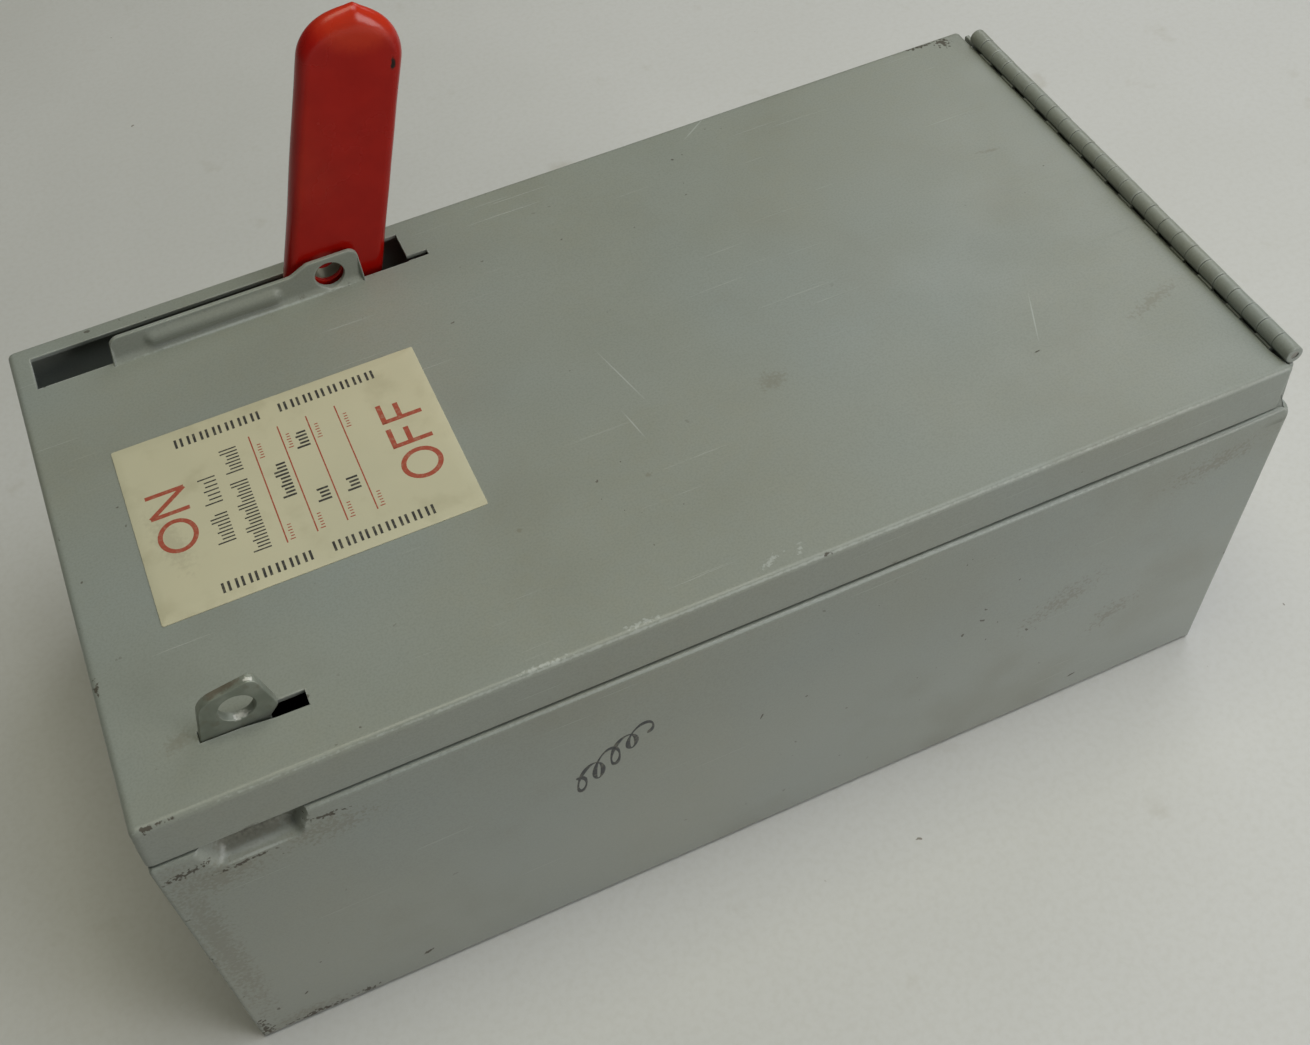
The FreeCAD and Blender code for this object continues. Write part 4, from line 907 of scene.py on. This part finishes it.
def door_profile():
    """(inset, z) pairs from the flat top round the bend, down the skirt and back inside."""
    pairs = [(FLAT_INSET, DOOR_TOP)]
    pairs += [(across, DOOR_TOP - down) for across, down in quarter(BEND, 7)]
    pairs += [(0, DOOR_TOP - 6), (0, DOOR_TOP - 10), (0, SKIRT_LOW + 0.45)]
    pairs += [(0.13, SKIRT_LOW + 0.13), (0.45, SKIRT_LOW), (1.05, SKIRT_LOW), (1.37, SKIRT_LOW + 0.13)]
    pairs += [(SHEET, SKIRT_LOW + 0.45), (SHEET, DOOR_TOP - 8), (SHEET, DOOR_TOP - 2.2)]
    pairs += [(SHEET + 0.2, DOOR_TOP - SHEET - 0.2), (FLAT_INSET, DOOR_TOP - SHEET)]
    return pairs


def door_place(x, y, z):
    """Door point with the sheet's slight unevenness, flared end and sprung corner."""
    side = smooth_step(84.0, 92.0, abs(y)) * (1 if y > 0 else -1)
    edge = smooth_step(1.0, 9.0, DOOR_TOP - z)
    down = smooth_step(0.0, DOOR_TOP - SKIRT_LOW, DOOR_TOP - z)
    flare = (0.6 + 0.9 * down) * smooth_step(166.0, 169.5, -x)
    ear = (0.3 + 1.6 * (1 - down)) * smooth_step(90.5, 92.5, -y) * smooth_step(160.0, 169.5, x)
    height = z + wave(x, y, 2.0) - 0.5 * WAVE
    return x - flare + ear, y + side * edge * wave(x, z, 5.0, 60.0), height


def slot_outline():
    """Handle slot with the narrow slit at its hinge end."""
    return [
        (SLOT_X[0], SLOT_Y[0]),
        (SLOT_X[1], SLOT_Y[0]),
        (SLOT_X[1], SLIT_Y[0]),
        (SLIT_X, SLIT_Y[0]),
        (SLIT_X, SLIT_Y[1]),
        (SLOT_X[1], SLIT_Y[1]),
        (SLOT_X[1], SLOT_Y[1]),
        (SLOT_X[0], SLOT_Y[1]),
    ]


def tab_bead(x, z):
    """Height of the pressed rib on the locking tab."""
    along = min(max(x, BEAD_X[0]), BEAD_X[1])
    reach = math.hypot(x - along, z - DOOR_TOP - BEAD_CENTRE)
    return BEAD_HEIGHT * (1 - smooth_step(0.6, 3.4, reach))


def tab_place(x, z, depth):
    """Locking tab point: the near face flares out to meet the door at its foot."""
    height = z - DOOR_TOP
    flare = 0.0
    if depth < SHEET / 2 and height < BEND:
        flare = BEND - math.sqrt(max(0.0, BEND**2 - (BEND - max(height, 0.0)) ** 2))
    return x, TAB_Y + depth - flare - tab_bead(x, z), z


def door_sheet():
    """Door with bent skirt, openings and the bent-up locking tab."""
    box = (door_low.x, -door_low.x, door_low.y, -door_low.y)
    form = Form()
    rings = [[(x, y, z) for x, y in perimeter_ring(box, BEND, i)] for i, z in door_profile()]
    base = DOOR_TOP - SHEET
    local = [[(x, y, z - base) for x, y, z in ring] for ring in rings]
    left, right = LATCH_SLOT_X
    near, far = LATCH_SLOT_Y
    latch_slot = [
        (left, near + 1.35),
        (left + 10.9, near + 1.15),
        (left + 19.8, near + 0.2),
        (right, near),
        (right, far),
        (left, far),
    ]
    form.plate(
        rectangle(*box),
        [slot_outline(), latch_slot],
        SHEET,
        0.28,
        8.0,
        local,
        lambda x, y, h: door_place(x, y, base + h),
    )
    low, high = DOOR_TOP + TAB_LOW, DOOR_TOP + TAB_HIGH
    foot = DOOR_TOP - 0.9
    tab_left, tab_right = TAB_X
    tab = rounded(
        [
            (tab_left, foot, 0),
            (tab_right, foot, 0),
            (tab_right, high, 3),
            (tab_right - 16.4, high, 4),
            (tab_right - 22.2, low, 4),
            (tab_left + 1.6, low, 3.4),
        ]
    )
    form.plate(tab, [circle(*TAB_HOLE)], SHEET, 0.32, 0.85, place=tab_place)
    even_shading(form.piece("door_sheet", "door", "door_paint", ["door_panel"]))


def label_place(x, y, z):
    """Label point, following the unevenness of the door."""
    return x, y, z + wave(x, y, 2.0) - 0.5 * WAVE


def label():
    """Printed card stuck on the door."""
    form = Form()
    outline = soft_rectangle(label_low.x, label_high.x, label_low.y, label_high.y, 0.6, 0.6, 3)
    base = DOOR_TOP - 0.04
    form.plate(outline, [], 0.30, 0.08, 6.0, place=lambda x, y, h: label_place(x, y, base + h))
    form.piece("printed_label", "door", "label_card", ["nameplate"])


INK_LOW = DOOR_TOP + 0.2
INK_HIGH = DOOR_TOP + 0.29


def ink_bar(form, x0, x1, y0, y1):
    """One printed bar, in short lengths so that it follows the label."""
    lies_along_x = x1 - x0 > y1 - y0
    count = max(1, int(max(x1 - x0, y1 - y0) / 6))
    rings = []
    for k in range(count + 1):
        share = k / count
        if lies_along_x:
            x = x0 + (x1 - x0) * share
            a, b = (x, y0), (x, y1)
        else:
            y = y0 + (y1 - y0) * share
            a, b = (x0, y), (x1, y)
        rings.append([(*a, INK_LOW), (*b, INK_LOW), (*b, INK_HIGH), (*a, INK_HIGH)])
    form.tube(rings, label_place)


def stroke_letter(form, strokes, foot_x, start_y, width, height, pen):
    """Letter from straight strokes in a unit box; it reads along +Y with its top towards -X."""
    for xa, ya, xb, yb in strokes:
        a = Vector((start_y + xa * width, ya * height))
        b = Vector((start_y + xb * width, yb * height))
        side = (b - a).normalized() * (pen / 2)
        side = Vector((-side.y, side.x))
        ring = [(foot_x - p.y, p.x) for p in (a + side, b + side, b - side, a - side)]
        ring = anticlockwise(ring)
        form.tube([[(x, y, z) for x, y in ring] for z in (INK_LOW, INK_HIGH)], label_place)


def round_letter(form, foot_x, start_y, width, height, pen):
    """Letter O as an oval ring."""
    steps = 36
    rings = []
    for inset, z in ((0, INK_LOW), (0, INK_HIGH), (pen, INK_HIGH), (pen, INK_LOW), (0, INK_LOW)):
        ring = []
        for k in range(steps):
            angle = 2 * math.pi * k / steps
            y = start_y + width / 2 + (width / 2 - inset) * math.cos(angle)
            x = foot_x - height / 2 - (height / 2 - inset) * math.sin(angle)
            ring.append((x, y, z))
        rings.append(ring)
    form.band(rings, place=label_place)


LETTER_N = [(0.06, 0, 0.06, 1), (0.06, 1, 0.94, 0), (0.94, 0, 0.94, 1)]
LETTER_F = [(0.08, 0, 0.08, 1), (0.0, 0.94, 1, 0.94), (0.08, 0.53, 0.86, 0.53)]
RULE_X = [-109.8, -101.0, -92.2, -83.3]
RULE_Y = (-22.0, 22.3)


def red_printing():
    """ON and OFF, four rules and small generic caption marks."""
    form = Form()
    pen = 1.45
    round_letter(form, -131.6, -11.6, 12.8, 11.6, pen)
    stroke_letter(form, LETTER_N, -131.9, 3.3, 9.6, 11.4, pen)
    round_letter(form, -60.2, -17.3, 12.2, 12.4, pen + 0.1)
    stroke_letter(form, LETTER_F, -60.2, -2.6, 8.0, 12.2, pen + 0.1)
    stroke_letter(form, LETTER_F, -60.2, 8.0, 8.0, 12.2, pen + 0.1)
    for x in RULE_X:
        ink_bar(form, x - 0.2, x + 0.2, *RULE_Y)
        for start in (RULE_Y[0] + 0.6, 12.2):
            strokes_along_y(form, x + 2.5, start, 6, 1.1, 1.5, 0.35)
    form.piece("label_red_print", "door", "label_card", material="red_ink")


STROKE_HEIGHTS = [1.0, 0.7, 0.7, 0.85, 0.7, 0.7, 1.0]


def strokes_along_y(form, foot_x, start_y, count, pitch, height, pen):
    """Row of plain upright strokes that stands in for a printed word; it reads along +Y."""
    for k in range(count):
        y = start_y + k * pitch
        tall = height * STROKE_HEIGHTS[k % len(STROKE_HEIGHTS)]
        ink_bar(form, foot_x - tall, foot_x, y, y + pen)


def strokes_along_x(form, start_x, foot_y, count, pitch, height, pen):
    """Row of plain upright strokes that reads along +X."""
    for k in range(count):
        x = start_x + k * pitch
        if k % 2:
            x -= pitch * 0.12
        ink_bar(form, x, x + pen, foot_y, foot_y + height)


def black_printing():
    """Rows of plain strokes where a maker would print words and ratings."""
    form = Form()
    for foot_y in (27.6, -31.1):
        strokes_along_x(form, -130.6, foot_y, 14, 1.95, 3.6, 0.75)
        strokes_along_x(form, -98.6, foot_y, 16, 1.95, 3.6, 0.75)
    strokes_along_y(form, -122.6, -14.0, 9, 1.35, 5.2, 0.5)
    strokes_along_y(form, -122.6, 1.6, 7, 1.7, 5.2, 0.5)
    strokes_along_y(form, -114.2, -21.2, 22, 1.3, 5.2, 0.5)
    strokes_along_y(form, -114.2, 10.6, 8, 1.35, 5.2, 0.5)
    for foot_x, start, count in (
        (-102.6, -6.0, 10),
        (-93.8, 10.6, 5),
        (-93.8, -12.0, 4),
        (-85.0, -12.0, 4),
    ):
        strokes_along_y(form, foot_x, start, count, 1.45, 4.0, 0.75)
    form.piece("label_black_print", "door", "label_card", material="black_ink")


# ---------------------------------------------------------------- case


def end_x(z):
    """Where the near and far walls end towards the hinge."""
    if z > END_BEND_Z + 0.9:
        return LIP_END_X
    share = min(1.0, max(0.0, z / END_BEND_Z))
    rounding = 2.2 * smooth_step(SHOULDER_Z - 3.0, SHOULDER_Z + CORNER_R, z)
    return END_FOOT_X + (END_TOP_X - END_FOOT_X) * share - 0.3 - rounding


def wall_levels():
    """(inset, z, step) from the back up the outside, over the lip and down inside."""
    outside = [(FLAT_INSET, 0.0, 0.0)]
    outside += [(across, up, 0.0) for across, up in quarter(BEND, 5)]
    outside += [(0.0, 10.0 + 12.4 * k, 0.0) for k in range(8)]
    outside += [(0.0, 99.0 + 0.5 * k, 0.0) for k in range(20)]
    outside += [(0.0, SHOULDER_Z - below, step) for below, step in quarter(SHOULDER_R, 7)]
    outside += [(0.0, SHOULDER_Z + up, LIP_INSET - back) for back, up in quarter(CORNER_R, 3)]
    outside += [(0.0, z, LIP_INSET) for z in (111.6, 112.4, 113.6, 117.0, LIP_TOP - 0.4)]
    rim = [(0.13, LIP_TOP - 0.1), (0.4, LIP_TOP), (1.1, LIP_TOP), (1.37, LIP_TOP - 0.1)]
    within = [(SHEET, z) for z in (LIP_TOP - 0.4, 117.0, 113.6, 112.4, 111.6, 110.6, 109.4)]
    within += [(SHEET, 108.6 - 0.9 * k) for k in range(11)]
    within += [(SHEET, z) for z in (70.0, 40.0, 10.0, 2.4)]
    within += [(SHEET + 0.3, SHEET + 0.3), (FLAT_INSET, SHEET)]
    under_shoulder = SHOULDER_Z - SHEET
    return outside + [(i, z, LIP_INSET if z > under_shoulder else 0.0) for i, z in rim + within]


def notch(x, z):
    """Depth of the finger notch in the near wall: a sloping ledge below an upright back."""
    height = z - NOTCH_FLOOR
    if height <= 0:
        return 0.0
    from_left = (x - NOTCH_LEFT) * math.cos(NOTCH_SPLAY) + height * math.sin(NOTCH_SPLAY)
    from_right = (NOTCH_RIGHT - x) * math.cos(NOTCH_SPLAY) + height * math.sin(NOTCH_SPLAY)
    across = smooth_step(0.0, 5.4, from_left) * smooth_step(0.0, 2.6, from_right)
    ledge = 1 - max(0.0, 1 - height / NOTCH_RISE) ** 2.2
    upright = smooth_step(0.0, 0.9, height) * (1 - smooth_step(111.6, 113.6, z))
    return NOTCH_DEPTH * across * ledge * upright


def wall_plan(last):
    """Corner-to-corner points of the three walls with their outward directions."""
    corner_r = 1.2
    stops = [last - (last - 118.0) * k / 6 for k in range(6)] + [118.0 - 12 * k for k in range(20)]
    stops += [-116.0 - 0.75 * k for k in range(72)]
    plan = [(x, WALL_Y, 0.0, -1.0) for x in stops if x > WALL_X + corner_r + 0.2]
    corner = [math.radians(270 - 90 * k / 7) for k in range(8)]
    plan += [(WALL_X + corner_r, WALL_Y + corner_r, math.cos(a), math.sin(a)) for a in corner]
    span_y = -2 * WALL_Y - 18
    plan += [(WALL_X, WALL_Y + 9 + span_y * k / 20, -1.0, 0.0) for k in range(21)]
    corner = [math.radians(180 - 90 * k / 7) for k in range(8)]
    plan += [(WALL_X + corner_r, -WALL_Y - corner_r, math.cos(a), math.sin(a)) for a in corner]
    start = WALL_X + 10
    return plan + [(start + (last - start) * k / 28, -WALL_Y, 0.0, 1.0) for k in range(29)], corner_r


def wall_ring(inset, z, step):
    """Open ring of points: near wall, near corner, end, far corner, far wall."""
    plan, corner_r = wall_plan(end_x(z))
    ring = []
    for x, y, nx, ny in plan:
        corner = (x, abs(y)) == (WALL_X + corner_r, -WALL_Y - corner_r)
        depth = inset + step
        lift = 0.0
        if ny < -0.5 and not corner:
            depth = inset + max(step, notch(x, z))
            depth -= wave(x, z, 9.0, 70.0)
            if SHOULDER_Z - SHOULDER_R < z < SHOULDER_Z + 1.0:
                lift = 0.6 * smooth_step(158.0, 166.0, x)
        elif ny > 0.5 and not corner:
            depth -= wave(x, z, 13.0, 70.0)
        reach = (corner_r if corner else 0.0) - depth
        if corner and reach < 0:
            ring.append((max(x, WALL_X + depth), math.copysign(-WALL_Y - depth, y), z))
        else:
            px = max(x + nx * reach, WALL_X + depth)
            py = math.copysign(min(abs(y + ny * reach), -WALL_Y - depth), y)
            ring.append((px, py, z + lift))
    return ring


def case_shell():
    """Back and three walls of the folded case."""
    form = Form()
    rings = [wall_ring(*level) for level in wall_levels()]
    form.band(rings + rings[:1], closed=False)
    count = len(rings[0])
    for side in (0, count - 1):
        outer = [ring[side] for ring in rings]
        half = len(outer) // 2
        for k in range(half):
            a, b = outer[k], outer[k + 1]
            c, d = outer[len(outer) - 2 - k], outer[len(outer) - 1 - k]
            if k + 1 < len(outer) - 2 - k:
                form.add([a, b, c, d], [(0, 1, 2, 3)])
    holes = [circle(*hole, 24) for hole in BACK_HOLES] + [rectangle(*BACK_OPENING)]
    back = rectangle(WALL_X + FLAT_INSET, END_FOOT_X - 1.0, WALL_Y + FLAT_INSET, -WALL_Y - FLAT_INSET)
    form.plate(back, holes, SHEET, 0.05)
    even_shading(form.piece("case_shell", "housing", "case_paint", ["housing_pan"]))


def case_end_wall():
    """Leaning end wall with the wire opening and the narrow hinge flange."""
    form = Form()
    half = -WALL_Y - 0.15
    lean = math.atan2(END_TOP_X - END_FOOT_X, END_BEND_Z)
    opening = soft_rectangle(*WIRE_OPENING_Y, *WIRE_OPENING_Z, 2, 2, 4)
    top = END_BEND_Z / math.cos(lean)
    outline = soft_rectangle(-half, half, 0.4, top, 0.5, 3.0, 4)

    def lean_place(y, along, h):
        x = END_FOOT_X + along * math.sin(lean) + (h - SHEET) * math.cos(lean)
        return x, y, along * math.cos(lean) - (h - SHEET) * math.sin(lean)

    form.plate(outline, [opening], SHEET, 0.3, place=lean_place)
    lip_half = half - LIP_INSET
    lip = soft_rectangle(-lip_half, lip_half, END_BEND_Z - 1.0, case_high.z, 0.5, 1.0, 3)
    form.plate(lip, [], SHEET, 0.3, place=lambda y, z, h: (case_high.x - SHEET + h, y, z))
    even_shading(form.piece("case_end_wall", "housing", "case_paint"))


def marker_scribble():
    """Row of plain felt-pen loops on the near wall."""
    form = Form()
    width = 0.95
    skin_y = WALL_Y - 0.05
    path = []
    steps = 160
    for k in range(steps + 1):
        t = k / steps
        swing = t * 9.0 * math.pi
        x = -60.0 + 25.0 * t + 2.6 * math.sin(swing + 0.4)
        z = 67.5 + 17.0 * t + (4.2 + 1.2 * math.sin(t * 4.0)) * math.cos(swing)
        path.append(Vector((x, z)))
    rings = []
    for k, here in enumerate(path):
        ahead = path[min(k + 1, len(path) - 1)] - path[max(k - 1, 0)]
        side = Vector((-ahead.y, ahead.x)).normalized() * width * (0.55 + 0.25 * math.sin(k * 0.45))
        ring = []
        for share, lift in ((1.0, 0), (0.8, 0.05), (-0.8, 0.05), (-1.0, 0)):
            p = here + side * share
            unevenness = wave(p.x, p.y, 9.0, 70.0)
            ring.append((p.x, skin_y - lift + 0.04 - unevenness, p.y))
        rings.append(ring)
    form.tube(rings)
    form.piece("pen_squiggle", "housing", "case_paint", material="marker_ink")


# ---------------------------------------------------------------- hinge


def knuckle(form, index, rng):
    """One rolled knuckle with softly broken ends."""
    y0 = HINGE_START + index * KNUCKLE_PITCH + KNUCKLE_GAP / 2
    y1 = y0 + KNUCKLE_PITCH - KNUCKLE_GAP
    radius = KNUCKLE_R - 0.02 + rng.uniform(-0.06, 0.04)
    dx = rng.uniform(-0.05, 0.05)
    dz = rng.uniform(-0.05, 0.05)
    ease = 0.24
    profile = [(KNUCKLE_BORE, y0)]
    profile += [(radius - across, y0 + along) for across, along in quarter(ease, 3)]
    profile += [(radius - across, y1 - along) for along, across in quarter(ease, 3)]
    profile.append((KNUCKLE_BORE, y1))
    form.lathe(profile, lambda a, b, y: (HINGE_X + a + dx, y, HINGE_Z + b + dz), 36)
    return y0, y1


def hinge_leaf(name, first, low, high, node, body, seed):
    """Every second knuckle on one strip."""
    rng = random.Random(seed)
    form = Form()
    strip_top = HINGE_Z - 3.2
    x0 = low.x if node == "door_hinge_leaf" else case_high.x
    x1 = x0 + LEAF_SHEET
    form.box(x0, x1, low.y + LEAF_SETBACK, high.y, low.z, strip_top, 0.25)
    for index in range(first, KNUCKLES, 2):
        y0, y1 = knuckle(form, index, rng)
        start = max(y0, low.y + LEAF_SETBACK)
        form.box(x0, x1, start, y1, strip_top - 1.0, HINGE_Z - 1.9, 0.2)
    even_shading(form.piece(name, body, "hinge_paint", [node]))


# ---------------------------------------------------------------- handle and latch


def grip_edge(angle):
    """Width of the rounded edge: narrow on the sides, wide round the tip."""
    return 3.0 + 3.0 * max(0.0, math.sin(angle)) ** 2


def grip_place(side, along, y):
    """Handle point from the lever's own directions."""
    side += GRIP_SIDE
    x = PIVOT[0] + along * math.sin(LEAN) + side * math.cos(LEAN)
    z = PIVOT[1] + along * math.cos(LEAN) - side * math.sin(LEAN)
    return x, HANDLE_Y + y, z


def dipped_grip():
    """Vinyl sleeve: flat faces, soft edges, a thin crown at the tip and a drip nub."""
    form = Form()
    straight_steps = 26
    tip_steps = 44
    centre = GRIP_END - GRIP_HALF_WIDTH
    outline = []
    rise = (centre - GRIP_START) / straight_steps
    sides = []
    for k in range(straight_steps):
        half = GRIP_HALF_WIDTH + GRIP_FOOT_EXTRA * (1 - k / straight_steps)
        sides.append((half, GRIP_START + rise * k, 0.0))
    outline += [(-half, along, angle) for half, along, angle in sides]
    outline += [(None, None, math.pi * k / tip_steps) for k in range(tip_steps + 1)]
    outline += sides[::-1]
    shares = [1.0, 0.85, 0.68, 0.52, 0.40, 0.30, 0.22, 0.16, 0.11, 0.07, 0.04, 0.018, 0.005, 0.0]
    levels = [(share, 1) for share in shares] + [(share, -1) for share in shares[-2::-1]]
    rings = []
    for share, face in levels:
        ring = []
        for side, along, angle in outline:
            if side is None:
                from_top = angle - math.pi / 2
                nub = 0.7 * sum(math.exp(-((from_top / width) ** 2)) for width in (0.26, 0.085))
                reach = GRIP_HALF_WIDTH * (1 - share) + nub * (1 - share) ** 6
                px = -math.cos(angle) * reach
                pa = centre + math.sin(angle) * reach
            else:
                swell = 0.25 * noise.noise(Vector((0.0, along / 22.0, 3.0 + side)))
                px = side * (1 - share) * (1 + swell / GRIP_HALF_WIDTH)
                pa = along
            depth = share * GRIP_HALF_WIDTH
            edge = grip_edge(angle)
            bow = min(1.0, depth / edge)
            half = GRIP_HALF_THICKNESS * math.sqrt(max(0.0, 1 - (1 - bow) ** 2))
            half += 0.10 * noise.noise(Vector((px / 14.0, pa / 14.0, 8.0 * face)))
            ring.append((px, pa, half * face if bow > 0 else 0.0))
        rings.append(ring)
    form.band(rings, closed=False, place=lambda s, a, y: grip_place(s, a, -y))
    cap = [ring[0] for ring in rings] + [ring[-1] for ring in rings[::-1]]
    form.add(cap, [tuple(range(len(cap)))], lambda s, a, y: grip_place(s, a, -y))
    grip = form.piece("dipped_grip", "handle", "red_vinyl", ["handle_grip"], sharp=math.radians(60.0))
    drill = Form()
    hole = circle(TAB_HOLE[0], TAB_HOLE[1], TAB_HOLE[2] + 0.2)
    drill.plate(hole, [], 24.0, 0.01, place=lambda x, z, h: (x, HANDLE_Y - 12 + h, z))
    cut(grip, drill)


def latch_plate():
    """Plated sliding hasp with punched, softened edges."""
    form = Form()
    left, right = NECK_X
    outline = rounded(
        [
            (latch_low.x, latch_low.z, 2),
            (latch_high.x, latch_low.z, 2),
            (latch_high.x, NECK_FOOT_Z, 3),
            (right, NECK_FOOT_Z, 0.6),
            (right, DOOR_TOP - 1.0, 0.4),
            (right + 3.2, DOOR_TOP + 2.8, 1.4),
            (right + 0.2, DOOR_TOP + 16.4, 2.4),
            (left + 5.7, DOOR_TOP + 13.5, 6.0),
            (left, NECK_FOOT_Z, 0.8),
        ]
    )
    slot = soft_rectangle(*GUIDE_SLOT_X, *GUIDE_SLOT_Z, GUIDE_SLOT_R, GUIDE_SLOT_R)
    thickness = latch_high.y - latch_low.y
    holes = [circle(*LATCH_HOLE), slot]
    form.plate(outline, holes, thickness, 0.38, place=lambda x, z, h: (x, latch_low.y + h, z))
    even_shading(form.piece("latch_hasp", "latch", "plated_steel", ["door_latch"]))


# ---------------------------------------------------------------- build

door_sheet()
label()
red_printing()
black_printing()
case_shell()
case_end_wall()
marker_scribble()
hinge_leaf("hinge_leaf_case", 0, body_leaf_low, body_leaf_high, "body_hinge_leaf", "housing", 11)
hinge_leaf("hinge_leaf_door", 1, door_leaf_low, door_leaf_high, "door_hinge_leaf", "door", 12)
dipped_grip()
latch_plate()


# ---------------------------------------------------------------- floor, light and camera


def floor():
    """Pale table under the object."""
    half = 2500.0
    form = Form()
    corners = [(x, y, -0.15) for x, y in rectangle(-half, half, -half, half)]
    form.add(corners, [(0, 1, 2, 3)])
    made = form.make_object("table")
    made.data.materials.append(MATERIALS["table_top"])


def area_light(name, place, target, size, power, colour):
    """Square soft light aimed at a point; metres and watts."""
    data = bpy.data.lights.new(name, "AREA")
    data.shape = "SQUARE"
    data.size = size
    data.energy = power
    data.color = colour
    made = placed(name, data)
    made.location = place
    made.rotation_euler = (Vector(target) - Vector(place)).to_track_quat("-Z", "Y").to_euler()


def world_light(colour, strength, seen):
    """Even pale surroundings, brighter to the eye than the light they give."""
    world = bpy.data.worlds.new("studio")
    world.use_nodes = True
    tree = world.node_tree
    background = tree.nodes["Background"]
    background.inputs[0].default_value = (*colour, 1.0)
    path = tree.nodes.new("ShaderNodeLightPath")
    level = tree.nodes.new("ShaderNodeMapRange")
    level.inputs["To Min"].default_value = strength
    level.inputs["To Max"].default_value = seen
    tree.links.new(path.outputs["Is Camera Ray"], level.inputs["Value"])
    tree.links.new(level.outputs["Result"], background.inputs[1])
    bpy.context.scene.world = world


# Heading is measured from +Y; the other two are how far it looks down and how far it leans over.
CAMERA_PLACE = (-0.10197, -0.32838, 0.47611)
CAMERA_HEADING = math.radians(-18.0086)
CAMERA_DOWN = math.radians(51.1952)
CAMERA_ROLL = math.radians(-7.1151)


def camera():
    """Camera above the near left corner, as the object is usually shown."""
    data = bpy.data.cameras.new("camera")
    data.sensor_width = 36.0
    data.lens = 44.60
    data.clip_start = 0.01
    made = placed("camera", data)
    heading = Matrix.Rotation(CAMERA_HEADING, 4, "Z")
    tilt = Matrix.Rotation(math.radians(90) - CAMERA_DOWN, 4, "X")
    roll = Matrix.Rotation(CAMERA_ROLL, 4, "Z")
    made.matrix_world = Matrix.Translation(CAMERA_PLACE) @ heading @ tilt @ roll
    bpy.context.scene.camera = made


floor()
world_light(BACKDROP, BACKDROP_LIGHT, BACKDROP_SEEN)
area_light("ceiling", (0.0, 0.0, 2.2), (0.0, 0.0, 0.05), 1.2, 13.5, (1.0, 0.98, 0.76))
area_light("window", (0.6, -0.3, 1.4), (0.0, 0.0, 0.05), 0.8, 6.6, (0.90, 0.94, 1.0))
area_light("window_low", (0.8, -1.0, 0.45), (0.0, 0.0, 0.05), 0.6, 5.4, (1.0, 0.98, 0.97))
area_light("window_far", (0.8, 0.6, 0.9), (0.0, 0.0, 0.05), 0.7, 2.7, (0.94, 0.96, 1.0))
camera()
bpy.context.scene.view_settings.view_transform = "Standard"
bpy.context.scene.view_settings.look = "None"
